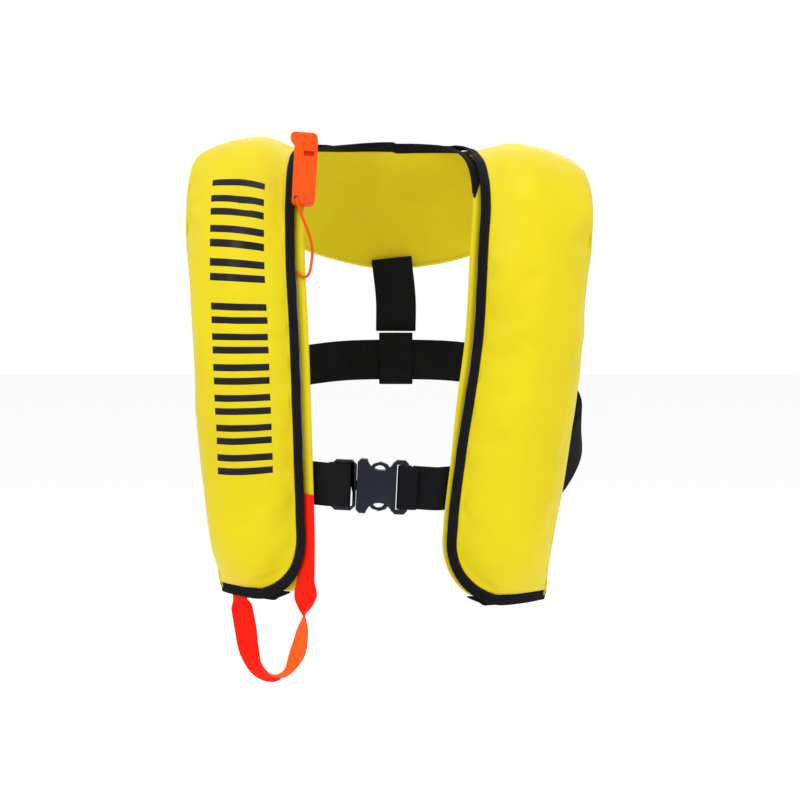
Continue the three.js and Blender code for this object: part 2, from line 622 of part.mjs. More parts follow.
// ---------------------------------------------------------------- oral tube
{
  const at = fitting(RIGHT, TUBE_HEIGHT + TUBE_LENGTH / 2, TUBE_ACROSS, 0)
    .multiply(new THREE.Matrix4().makeTranslation(0, 0, -TUBE_LENGTH / 2));
  const radius = TUBE_DIAMETER / 2;
  const middleY = bodyBase + radius + SEAT;
  const flange = turned([[0, 0], [11, 0], [11, FLANGE_THICKNESS], [0, FLANGE_THICKNESS]], 20)
    .rotateX(-Math.PI / 2).translate(0, FLANGE_BASE, 0);
  const elbow = box(-5, 5, FLANGE_BASE + 0.5, middleY + radius, -5, 5);
  addMesh('tube_elbow', combine(flange, { add: [elbow] }), BLACK_PLASTIC, at);

  const tube = turned([[0, 0], [radius, 0], [radius, TUBE_LENGTH], [0, TUBE_LENGTH]], 14);
  addMesh('oral_tube', tube.translate(0, middleY, 5.4), BLACK_PLASTIC, at);

  const valveZ = 5.4 + TUBE_LENGTH + 0.4;
  const [outside, inside] = [VALVE_DIAMETER / 2, 3.6];
  const head = turned([
    [0, 0], [outside - 2, 0], [outside, 3], [outside, 18], [inside, 18], [inside, 3], [0, 3],
  ], 16);
  addMesh('valve_head', head.translate(0, middleY, valveZ), BLACK_PLASTIC, at);
  const plunger = turned([[0, 8], [2.9, 8], [2.9, 16.4], [0, 16.4]], 12);
  addMesh('valve_plunger', plunger.translate(0, middleY, valveZ), ORANGE, at);
  const cap = turned([[0, 0], [outside, 0], [outside, 2.4], [outside - 1.5, 3.6], [0, 3.6]], 16);
  addMesh('valve_cap', cap.translate(0, middleY, valveZ + 18.4), BLACK_PLASTIC, at);
}

// ---------------------------------------------------------------- webbing
// A flat band along a path; across says which way its width runs at each point.
function band(points, across, width, thickness) {
  const outer = [];
  const inner = [];
  points.forEach((p, i) => {
    const ahead = points[Math.min(i + 1, points.length - 1)];
    const back = points[Math.max(i - 1, 0)];
    const forward = ahead.clone().sub(back).normalize();
    const side = across[i].clone().addScaledVector(forward, -across[i].dot(forward)).normalize();
    const out = side.clone().cross(forward);
    const edge = (w, t) => p.clone().addScaledVector(side, w * width).addScaledVector(out, t * thickness);
    outer.push([edge(-0.5, 0.5), edge(0.5, 0.5)]);
    inner.push([edge(-0.5, -0.5), edge(0.5, -0.5)]);
  });
  return sheet(outer, inner);
}
const upright = (points) => points.map(() => vec(0, 0, 1));
const smooth = (points, count) => new THREE.CatmullRomCurve3(points, false, 'centripetal').getPoints(count);

const BEHIND = -(WEB_THICKNESS / 2 + BELT_CLEAR); // the belt's middle behind a lobe's lining
const beltLeft = place(LEFT.at(BELT_HEIGHT), 0, BEHIND);
const beltRight = place(RIGHT.at(BELT_HEIGHT), 0, BEHIND);
const beltZ = (beltLeft.z + beltRight.z) / 2;
const buckleX = (beltLeft.x + beltRight.x) / 2 + BUCKLE_SHIFT;
const buckleAt = new THREE.Matrix4()
  .makeRotationY(-BUCKLE_TILT)
  .setPosition(buckleX, beltLeft.y - 3.4, beltZ);
const onBuckle = (x, y, z = 0) => vec(x, y, z).applyMatrix4(buckleAt);
const buckleUp = vec(0, 0, 1).transformDirection(buckleAt);
const behindLobe = (side, shares) => shares.map((share) =>
  place(side.at(BELT_HEIGHT), share * frameAt(side.at(BELT_HEIGHT)).width, BEHIND));
const roundBody = (sign, points) => points.map(([x, y, rise]) =>
  vec(sign * x * BELT_REACH, (y * BODY_DEPTH) / 2, beltZ + rise * BACK_RISE));

const sidePoint = [[1, -0.02, 0.4]];
const backPoints = [[0.94, 0.36, 0.66], [0.72, 0.7, 0.87], [0.37, 0.91, 0.98], [0, 0.97, 1]];
const web = WEB_THICKNESS / 2;
const halfBar = 3.3; // half of the thickness of the buckle's bars
const rest = halfBar + 0.7 + web; // middle of the webbing that lies on a bar
const slotLeft = -17;
const slotRight = 25.7;
{
  const bar = slotLeft - 5;
  const lead = beltLeft.x - buckleX + 12; // where the belt has come out past the lining's margin
  const ladder = [
    [lead, -3], [mix(lead, bar, 0.37), -rest], [bar, -rest], [slotLeft - 1.6, -rest + 0.7], [slotLeft, -2.2],
    [slotLeft, 2.2], [slotLeft - 1.6, rest - 0.7], [bar, rest], [mix(lead, bar, 0.5), rest],
    [mix(lead, bar, 0.17), rest - 0.4],
  ].map(([x, y]) => onBuckle(x, y));
  const hidden = smooth([...roundBody(-1, sidePoint), ...behindLobe(LEFT, [0.97, 0.75, 0.5, 0.25, 0.02])], 26);
  const ways = [...upright(hidden), ...ladder.map(() => buckleUp)];
  addMesh('belt_left', band([...hidden, ...ladder], ways, WEB_WIDTH, WEB_THICKNESS), BLACK_WEB);

  const back = [...roundBody(-1, sidePoint), ...roundBody(-1, backPoints),
    ...roundBody(1, backPoints.slice(0, -1).reverse()), ...roundBody(1, sidePoint)];
  const round = smooth(back, 36).slice(1, -1);
  addMesh('belt_back', band(round, upright(round), WEB_WIDTH, WEB_THICKNESS), BLACK_WEB);

  const right = smooth([...behindLobe(RIGHT, [0.2, 0.4, 0.6, 0.8, 0.97]), ...roundBody(1, sidePoint)], 20);
  addMesh('belt_right', band(right, upright(right), WEB_WIDTH, WEB_THICKNESS), BLACK_WEB);

  const loop = [
    [beltRight.x - buckleX - 7, 2.2], [44, rest - 1.6], [36, rest], [slotRight + 2.3, rest], [slotRight + 0.9, rest - 0.7],
    [slotRight - 0.6, 2.2], [slotRight - 0.6, -2.2], [slotRight + 0.9, -rest + 0.7],
    [slotRight + 2.3, -rest], [35, -rest], [40, -2.4], [46, 0.2],
  ].map(([x, y]) => onBuckle(x, y));
  const start = behindLobe(RIGHT, [0.18, 0.1, 0.02]);
  const turns = [...upright(start), ...loop.map(() => buckleUp)];
  addMesh('belt_front_right', band([...start, ...loop], turns, WEB_WIDTH, WEB_THICKNESS), BLACK_WEB);
}

// A cloth tunnel on the back of each lobe holds the belt against it.
for (const side of [LEFT, RIGHT]) {
  const half = WEB_WIDTH / 2;
  const heights = [-half - 13, -half - 4, half + 4, half + 13];
  const under = WEB_THICKNESS / 2 + TUNNEL_CLEAR - BEHIND;
  const depth = [0.9, under, under, 0.9];
  const across = span(5).map((f) => mix(0.1, 0.86, f) * frameAt(side.at(BELT_HEIGHT)).width);
  const face = (drop) => heights.map((h, i) =>
    across.map((s) => place(side.at(BELT_HEIGHT + h), s, -depth[i] - drop)));
  addMesh(`belt_tunnel_${side.name}`, sheet(face(0), face(CLOTH)), YELLOW);
}

// The strap that joins the collar to the belt behind the wearer, and the keeper at its end.
{
  const belt = roundBody(1, [[0, 0.97, 1]])[0];
  const collar = place(TOTAL / 2, frameAt(TOTAL / 2).width - 14, BEHIND);
  const half = WEB_WIDTH / 2;
  const skin = web * 2 + 1;
  const down = [collar, vec(0, mix(collar.y, belt.y, 0.6), mix(collar.z, belt.z + half, 0.5)),
    vec(0, belt.y + skin, belt.z + half + 8)];
  const points = smooth(down, 8);
  addMesh('back_strap', band(points, points.map(() => vec(1, 0, 0)), WEB_WIDTH, WEB_THICKNESS), BLACK_WEB);
  const round = [
    [skin, half + 6.5], [skin, 0], [skin, -half], [skin * 0.6, -half - 3.2], [-skin * 0.6, -half - 3.2],
    [-skin, -half], [-skin, 0], [-skin, half + 6.5],
  ].map(([y, z]) => vec(0, belt.y + y, belt.z + z));
  const keeper = band(round, round.map(() => vec(1, 0, 0)), WEB_WIDTH - 6, WEB_THICKNESS);
  addMesh('back_keeper', keeper, BLACK_WEB);
}

// ---------------------------------------------------------------- buckle
{
  const left = -BUCKLE_LENGTH / 2;
  const right = BUCKLE_LENGTH / 2;
  const half = BUCKLE_HEIGHT / 2;
  const joint = left + 22;
  const slotHalf = WEB_WIDTH / 2 + 0.6;
  const frame = plate(chamfered(left, joint, -half + 1.5, half - 1.5, 4), -halfBar, halfBar, [
    rectangle(left + 3.5, left + 7.5, -slotHalf, slotHalf),
    rectangle(slotLeft - 3, slotLeft + 2.6, -slotHalf, slotHalf),
  ]);
  const guide = box(joint - 0.5, joint + 23, -2.4, 2.4, -4, 4);
  addMesh('buckle_male', combine(frame, { add: [guide] }), BLACK_PLASTIC, buckleAt);

  const start = joint + 0.4;
  const deep = BUCKLE_THICKNESS / 2;
  const shell = plate(chamfered(start, slotRight - 5, -half, half, 3), -deep, deep);
  const tail = plate(chamfered(slotRight - 6, right, -half, half, 3), -halfBar, halfBar,
    [rectangle(slotRight - 2.4, slotRight + 2.3, -slotHalf, slotHalf)]);
  const cavity = box(start - 1, start + 30.5, -3.5, 3.5, 6.3 - half, half - 6.3);
  const notches = [1, -1].map((sign) => {
    const round = turned([[0, -20], [12, -20], [12, 20], [0, 20]], 24);
    return round.rotateX(Math.PI / 2).translate(joint + 20.6, 0, sign * (half + 2.5));
  });
  addMesh('buckle_socket', combine(shell, { add: [tail], cut: [cavity, ...notches] }), BLACK_PLASTIC, buckleAt);

  const root = joint + 0.9;
  const tip = joint + PRONG_REACH + 1.5;
  for (const [name, sign] of [['buckle_prong_upper', 1], ['buckle_prong_lower', -1]]) {
    const fromEdge = (points) => points.map(([x, inset]) => [x, sign * (half - inset)]);
    const outline = fromEdge([
      [root, 13.9], [root + 11, 13.5], [tip - 2, 12], [tip, 9], [tip - 3, 4], [tip - 9, 2],
      [tip - 15.5, 4.1], [tip - 19.5, 10.1], [root, 10.5],
    ]);
    const window = fromEdge([
      [tip - 15, 9.3], [tip - 9.5, 10.3], [tip - 4, 8.7], [tip - 6.5, 5.9], [tip - 10, 4.9],
      [tip - 13.6, 6.5],
    ]);
    const shape = plate(sign > 0 ? outline : outline.reverse(), -2.8, 2.8, [window]);
    addMesh(name, shape, BLACK_PLASTIC, buckleAt);
  }
}

// ---------------------------------------------------------------- pull strap
{
  const gapMiddle = (CLOTH + 0.3 + CLOSED_HEIGHT - CLOTH - 0.3) / 2;
  const at = (d, s) => place(LEFT.at(Math.max(d, 0)), s, gapMiddle + 0.15)
    .addScaledVector(frameAt(LEFT.at(0)).along, Math.min(d, 0));
  const plane = (d, s) => at(Math.max(d, 0), s - 8).sub(at(Math.max(d, 0), s + 8));
  const outside = at(0, 78);
  const inside = at(0, 7);
  const hanging = (share, x, y, drop) => outside.clone().lerp(inside, share)
    .add(vec(x, y, -drop * STRAP_HANG));
  const route = [
    [at(24, 77), plane(24, 77)], [at(12, 77.5), plane(12, 77.5)], [outside, plane(0, 78)],
    [at(-9, 78), plane(0, 78)],
    [hanging(0, 2, 0, 0.34), vec(0.95, 0.1, 0.1)], [hanging(0.06, 3, -3, 0.64), vec(0.8, -0.5, 0.3)],
    [hanging(0.26, 0, -6, 0.92), vec(0.45, -0.85, 0.1)], [hanging(0.5, 0, -8, 1), vec(0.2, -0.95, 0)],
    [hanging(0.74, 0, -7, 0.9), vec(0.4, -0.88, -0.1)], [hanging(0.93, 2, -4, 0.6), vec(0.62, -0.75, 0)],
    [hanging(1, 3, -3, 0.3), vec(0.9, -0.2, 0)], [at(-10, 6.5), plane(0, 7)],
    [inside, plane(0, 7)], [at(11, 6), plane(11, 6)],
    ...[24, 52, 78, 96].map((d) => [at(d, 5), plane(d, 5)]),
  ];
  const count = 42;
  const centre = smooth(route.map(([p]) => p), count);
  const turns = smooth(route.map(([, w]) => w.clone().normalize()), count);
  addMesh('pull_strap', band(centre, turns, STRAP_WIDTH, STRAP_THICKNESS), RED_WEB);
}

// ---------------------------------------------------------------- whistle and lanyard
{
  const { across } = frameAt(LEFT.at(WHISTLE_FOOT));
  const foot = place(LEFT.at(WHISTLE_FOOT), -WHISTLE_WIDTH / 2 - 1.2, WHISTLE_DEPTH / 2 + 4);
  const up = vec(0.04, 0.34, 0.94).normalize();
  const x = vec(1, 0.12, 0).addScaledVector(up, -vec(1, 0.12, 0).dot(up)).normalize();
  const at = new THREE.Matrix4().makeBasis(x, up.clone().cross(x), up).setPosition(foot);
  const [w, t, l] = [WHISTLE_WIDTH / 2, WHISTLE_DEPTH / 2, WHISTLE_LENGTH];
  const outline = [
    [-w, 4], [-w + 1.5, 1.2], [-w + 5, 0], [w - 5, 0], [w - 1.5, 1.6], [w, 5], [w, l - 8],
    [w - 1, l - 2], [w - 4, l], [-w - 1, l], [-w - 4, l - 2], [-w - 3, l - 6], [-w, l - 10],
  ];
  const hole = [[-w + 2, 3.4], [-w + 4.6, 3.4], [-w + 5.2, 5], [-w + 4.6, 6.8], [-w + 2, 6.8], [-w + 1.4, 5]];
  const sound = rectangle(-2, 7, l - 22, l - 17);
  const whole = plate(outline, -t, t, [hole]);
  const mouth = plate(sound, -t - 1, 0.5);
  addMesh('whistle', combine(whole, { cut: [mouth] }), ORANGE, at);

  const tie = vec(-w + 3.3, -t - LANYARD_DIAMETER / 2 - 0.8, 4.6).applyMatrix4(at);
  const end = WHISTLE_FOOT - 55;
  const between = (CLOTH + CLOSED_HEIGHT) / 2 - 0.8;
  const route = [
    tie, tie.clone().add(vec(4.6, -3, -15)), tie.clone().add(vec(10.6, -5, -30)),
    tie.clone().add(vec(14, -7, -45)), place(LEFT.at(end - 2), -13, between + 1.4),
    place(LEFT.at(end - 4), -6, between + 0.5), place(LEFT.at(end), 0.6, between),
  ];
  const path = new THREE.CatmullRomCurve3(route, false, 'centripetal');
  const ring = new THREE.Shape();
  ring.absarc(0, 0, LANYARD_DIAMETER / 2, 0, Math.PI * 2);
  const cord = new THREE.ExtrudeGeometry(ring, { steps: 24, curveSegments: 8, extrudePath: path });
  addMesh('whistle_lanyard', cord, ORANGE);
}

export default group;
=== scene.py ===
"""Finished look of an inflatable life jacket, packed and as it sits on a wearer.

Shapes are worked out in millimetres in the jacket's own frame, +Z up with the front towards -Y,
and become metres when a mesh is made. "Left" is -X, on the left of someone facing the jacket.
"""
import logging
import math
from dataclasses import dataclass, field
from enum import Enum

import bmesh
import bpy
import numpy as np
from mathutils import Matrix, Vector


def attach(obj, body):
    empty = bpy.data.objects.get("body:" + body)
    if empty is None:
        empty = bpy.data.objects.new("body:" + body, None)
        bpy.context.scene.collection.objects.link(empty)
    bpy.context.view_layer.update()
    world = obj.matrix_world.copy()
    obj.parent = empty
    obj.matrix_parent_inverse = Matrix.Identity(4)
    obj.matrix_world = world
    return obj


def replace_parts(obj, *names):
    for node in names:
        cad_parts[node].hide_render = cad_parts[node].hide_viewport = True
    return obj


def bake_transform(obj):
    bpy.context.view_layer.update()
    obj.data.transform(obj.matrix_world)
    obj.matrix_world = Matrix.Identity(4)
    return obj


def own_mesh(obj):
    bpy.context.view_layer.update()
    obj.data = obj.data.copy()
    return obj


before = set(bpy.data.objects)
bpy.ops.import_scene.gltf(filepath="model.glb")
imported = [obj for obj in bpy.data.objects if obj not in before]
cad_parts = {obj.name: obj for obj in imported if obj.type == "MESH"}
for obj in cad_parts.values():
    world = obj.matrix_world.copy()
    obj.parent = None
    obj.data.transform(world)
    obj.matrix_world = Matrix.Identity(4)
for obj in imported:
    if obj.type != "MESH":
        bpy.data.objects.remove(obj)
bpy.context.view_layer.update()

log = logging.getLogger("life_jacket")
MM = 0.001
VEST = "vest"
UP = np.array([0.0, 0, 1])
TO_Y = np.array([[1, 0, 0, 0], [0, 0, 1, 0], [0, -1, 0, 0], [0, 0, 0, 1]], float)  # turns a Z axis to Y


# ---------------------------------------------------------------- curves and grids
def catmull_rom(points: np.ndarray, share: np.ndarray) -> np.ndarray:
    """Centripetal spline through points: each stretch is the cubic whose end slopes come from its neighbours,
    weighted by the square root of the distances, and the end points are reflected.

    Args:
        points: the points, (n, 3).
        share: places along the spline from 0 to 1, any shape.

    Returns:
        Points, of share's shape and 3.
    """
    share = np.asarray(share, float)
    flat = np.clip(share.ravel(), 0, 1)
    points = np.asarray(points, float)
    last = len(points) - 1
    whole = np.vstack([2 * points[0] - points[1], points, 2 * points[-1] - points[-2]])
    left = np.minimum((flat * last).astype(int), last - 1)
    t = (flat * last - left)[:, None]
    p0, p1, p2, p3 = (whole[left + i] for i in range(4))

    def gap(a: np.ndarray, b: np.ndarray) -> np.ndarray:
        """Square root of the distance between two rows of points."""
        return np.maximum(np.sum((a - b) ** 2, axis=1, keepdims=True) ** 0.25, 1e-4)

    d0, d1, d2 = gap(p0, p1), gap(p1, p2), gap(p2, p3)
    m1 = ((p1 - p0) / d0 - (p2 - p0) / (d0 + d1) + (p2 - p1) / d1) * d1
    m2 = ((p2 - p1) / d1 - (p3 - p1) / (d1 + d2) + (p3 - p2) / d2) * d1
    out = p1 + m1 * t + (3 * (p2 - p1) - 2 * m1 - m2) * t**2 + (2 * (p1 - p2) + m1 + m2) * t**3
    return out.reshape(*share.shape, 3)


def unit(vectors: np.ndarray) -> np.ndarray:
    """Vectors scaled to length 1 along their last axis."""
    return vectors / np.maximum(np.linalg.norm(vectors, axis=-1, keepdims=True), 1e-12)


def smoothstep(x: np.ndarray) -> np.ndarray:
    """0 below 0, 1 above 1, and the cubic 3x^2 - 2x^3 between."""
    x = np.clip(x, 0, 1)
    return x * x * (3 - 2 * x)


def mix_of(a: float, b: float, share: float) -> float:
    """A number between a and b."""
    return a + (b - a) * share


def grid_faces(rows: int, columns: int, around: bool = False) -> np.ndarray:
    """Quads of a grid of points numbered row by row.

    Args:
        rows: rows of points.
        columns: points in a row.
        around: whether the last column joins the first.

    Returns:
        Corner numbers, (quads, 4).
    """
    r, c = np.meshgrid(np.arange(rows - 1), np.arange(columns if around else columns - 1), indexing="ij")
    n = (c + 1) % columns
    quads = np.stack([r * columns + c, r * columns + n, (r + 1) * columns + n, (r + 1) * columns + c], -1)
    return quads.reshape(-1, 4)


def make_mesh(name: str, points: np.ndarray, faces: list | np.ndarray, uv: np.ndarray | None = None,
              smooth: bool = True) -> bpy.types.Object:
    """A mesh object at the origin.

    Args:
        name: the piece's name.
        points: corners in millimetres, last axis 3.
        faces: corner numbers of each face.
        uv: one pair for each corner, in metres along and across the piece.
        smooth: whether its faces are shaded smooth.

    Returns:
        The new object.
    """
    mesh = bpy.data.meshes.new(name)
    points = np.asarray(points, float).reshape(-1, 3) * MM
    faces = faces.tolist() if isinstance(faces, np.ndarray) else faces
    mesh.from_pydata(points, [], faces)
    mesh.update()
    if uv is not None:
        corner = np.empty(len(mesh.loops), dtype=np.int64)
        mesh.loops.foreach_get("vertex_index", corner)
        layer = mesh.uv_layers.new(name="UVMap")
        layer.data.foreach_set("uv", np.asarray(uv, float).reshape(-1, 2)[corner].astype(np.float32).ravel())
    if smooth:
        mesh.shade_smooth()
    piece = bpy.data.objects.new(name, mesh)
    bpy.context.collection.objects.link(piece)
    return piece


def outward(piece: bpy.types.Object) -> bpy.types.Object:
    """Merges a closed piece's doubles and turns its faces outwards.

    Args:
        piece: the piece.

    Returns:
        The same piece.
    """
    bm = bmesh.new()
    bm.from_mesh(piece.data)
    bmesh.ops.remove_doubles(bm, verts=bm.verts, dist=1e-7)
    bmesh.ops.recalc_face_normals(bm, faces=bm.faces)
    bm.to_mesh(piece.data)
    bm.free()
    return piece


def applied(piece: bpy.types.Object) -> bpy.types.Object:
    """Makes a piece's modifiers part of its mesh.

    Args:
        piece: the piece.

    Returns:
        The same piece, with no modifiers.
    """
    bpy.context.view_layer.update()
    graph = bpy.context.evaluated_depsgraph_get()
    mesh = bpy.data.meshes.new_from_object(piece.evaluated_get(graph), depsgraph=graph)
    piece.modifiers.clear()
    piece.data = mesh
    mesh.name = piece.name
    return piece


def refine(piece: bpy.types.Object, levels: int = 1, thickness: float = 0.0) -> bpy.types.Object:
    """Subdivides a piece, gives it a wall, and applies both.

    Args:
        piece: the piece.
        levels: of subdivision.
        thickness: of the wall in millimetres, or 0 for none.

    Returns:
        The same piece.
    """
    if levels:
        modifier = piece.modifiers.new("fine", "SUBSURF")
        modifier.levels = levels
        modifier.render_levels = levels
    if thickness:
        wall = piece.modifiers.new("wall", "SOLIDIFY")
        wall.thickness = thickness * MM
        wall.offset = -1
        wall.use_even_offset = True
    return applied(piece)


def tube_of(name: str, sections: np.ndarray, uv: np.ndarray | None = None) -> bpy.types.Object:
    """A closed bar through rings of points, with a cap of one face at each end.

    Args:
        name: the piece's name.
        sections: the rings in millimetres, (stations, ring, 3).
        uv: one pair for each point.

    Returns:
        The piece.
    """
    stations, ring = sections.shape[:2]
    faces = grid_faces(stations, ring, around=True).tolist()
    faces.append(list(range(ring)))
    faces.append(list(range((stations - 1) * ring, stations * ring)))
    return outward(make_mesh(name, sections, faces, uv))


def stadium(width: float, thickness: float, per_end: int = 5, flats: int = 4) -> np.ndarray:
    """Outline of a flat bar with round edges: two half circles joined by straight runs.

    Args:
        width: across the bar.
        thickness: through it, which is the half circles' diameter.
        per_end: points on each half circle.
        flats: points inside each straight run.

    Returns:
        Points in turn round the outline, (n, 2).
    """
    r = thickness / 2
    flat = width / 2 - r
    turn = np.linspace(-math.pi / 2, math.pi / 2, per_end)
    right = np.stack([flat + r * np.cos(turn), r * np.sin(turn)], -1)
    run = np.linspace(flat, -flat, flats + 2)[1:-1]
    top = np.stack([run, np.full_like(run, r)], -1)
    return np.vstack([right, top, -right, -top])


def ribbon(name: str, line: np.ndarray, sides: np.ndarray, width: float, thickness: float,
           flats: int = 6) -> bpy.types.Object:
    """Webbing: a stadium outline carried along a line, its width lying along sides.

    Args:
        name: the piece's name.
        line: centre points in millimetres, (n, 3).
        sides: direction of the width at each point, (n, 3).
        width: across the webbing.
        thickness: through it.
        flats: points along each flat side.

    Returns:
        The closed piece, with UVs along and across it.
    """
    ahead = unit(np.gradient(line, axis=0))
    side = unit(sides - ahead * np.sum(sides * ahead, axis=1, keepdims=True))
    out = np.cross(side, ahead)
    outline = stadium(width, thickness, flats=flats)
    sections = (line[:, None] + side[:, None] * outline[None, :, :1] + out[:, None] * outline[None, :, 1:])
    length = np.concatenate([[0], np.cumsum(np.linalg.norm(np.diff(line, axis=0), axis=1))])
    across = np.broadcast_to(outline[None, :, 0] + (outline[None, :, 1] > 0) / MM, sections.shape[:2])
    uv = np.stack([np.broadcast_to(length[:, None], across.shape), across], -1) * MM
    return tube_of(name, sections, uv)


def turned(name: str, profile: list[tuple[float, float]], placing: np.ndarray, sides: int = 48,
           bevel: float = 0.35) -> bpy.types.Object:
    """A turned piece: radii and heights spun about the Z axis of placing.

    Args:
        name: the piece's name.
        profile: radius and height of each corner, from the axis back to the axis.
        placing: 4 by 4 matrix in millimetres.
        sides: facets round it.
        bevel: rounding of its edges.

    Returns:
        The closed piece.
    """
    r, z = (column[:, None] for column in np.array(profile, float).T)
    turn = np.linspace(0, 2 * math.pi, sides, endpoint=False)
    ring = np.stack([r * np.cos(turn), r * np.sin(turn), np.broadcast_to(z, (len(z), sides))], -1)
    points = ring @ placing[:3, :3].T + placing[:3, 3]
    piece = outward(make_mesh(name, points, grid_faces(len(z), sides, around=True)))
    return rounded(piece, bevel)


def rounded(piece: bpy.types.Object, bevel: float, angle: float = 32) -> bpy.types.Object:
    """Rounds a piece's sharp edges and keeps its flats flat.

    Args:
        piece: the piece.
        bevel: width of the rounding in millimetres, or 0 for none.
        angle: an edge is rounded where its faces turn by more than this, in degrees.

    Returns:
        The same piece.
    """
    if bevel:
        modifier = piece.modifiers.new("edges", "BEVEL")
        modifier.width = bevel * MM
        modifier.segments = 3
        modifier.limit_method = "ANGLE"
        modifier.angle_limit = math.radians(angle)
        modifier.harden_normals = False
        modifier.use_clamp_overlap = True
    applied(piece)
    piece.data.shade_smooth()
    piece.data.set_sharp_from_angle(angle=math.radians(38))
    return piece


def moulded(node: str, bevel: float) -> bpy.types.Object:
    """A moulding with a CAD node's shape and rounded edges: a copy of its triangles, merged into flats.

    Args:
        node: the node it stands for, and its name.
        bevel: width of the rounding in millimetres, or 0 for none.

    Returns:
        The piece.
    """
    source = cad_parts[node]
    bm = bmesh.new()
    bm.from_mesh(source.data)
    bm.transform(source.matrix_world)
    bmesh.ops.remove_doubles(bm, verts=bm.verts, dist=2e-6)
    bmesh.ops.dissolve_limit(bm, angle_limit=math.radians(1.2), verts=bm.verts, edges=bm.edges)
    bmesh.ops.recalc_face_normals(bm, faces=bm.faces)
    mesh = bpy.data.meshes.new(node)
    bm.to_mesh(mesh)
    bm.free()
    piece = bpy.data.objects.new(node, mesh)
    bpy.context.collection.objects.link(piece)
    rounded(piece, bevel, angle=30)
    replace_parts(piece, node)
    return piece


def stitches(name: str, line: np.ndarray, normals: np.ndarray, pitch: float = 3.4, length: float = 2.5,
             radius: float = 0.28) -> bpy.types.Object:
    """A row of stitches: short bars of six sides, tapered at both ends, laid along a line on a surface.

    Args:
        name: the piece's name.
        line: points of the seam in millimetres, (n, 3).
        normals: the surface's outward direction at each point, (n, 3).
        pitch: from stitch to stitch.
        length: of a stitch.
        radius: of the thread.

    Returns:
        The piece.
    """
    steps = np.linalg.norm(np.diff(line, axis=0), axis=1)
    along = np.concatenate([[0], np.cumsum(steps)])
    at = np.arange(pitch / 2, along[-1], pitch)

    def sample(values: np.ndarray, where: np.ndarray) -> np.ndarray:
        """Rows of values at lengths along the line."""
        return np.stack([np.interp(where, along, values[:, i]) for i in range(3)], -1)

    middle, normal = sample(line, at), unit(sample(normals, at))
    ahead = unit(sample(line, at + 0.6) - sample(line, at - 0.6))
    side = np.cross(normal, ahead)
    sides = 6
    turn = np.linspace(0, 2 * math.pi, sides, endpoint=False)
    taper = [(-0.5, 0.35), (-0.32, 1.0), (0.32, 1.0), (0.5, 0.35)]
    around = side[:, None] * np.cos(turn)[:, None] + normal[:, None] * np.sin(turn)[:, None]
    rings = [middle[:, None] + ahead[:, None] * share * length + radius * fat * around
             for share, fat in taper]
    points = np.stack(rings, 1).reshape(-1, 3)
    one, each = grid_faces(len(taper), sides, around=True), len(taper) * sides
    faces = (one[None] + (np.arange(len(at)) * each)[:, None, None]).reshape(-1, 4).tolist()
    for start in range(0, len(points), each):
        faces.append(list(range(start, start + sides)))
        faces.append(list(range(start + each - sides, start + each)))
    return outward(make_mesh(name, points, faces))


# ---------------------------------------------------------------- the horseshoe
class Side(Enum):
    """The two front lobes."""

    LEFT = "left"
    RIGHT = "right"


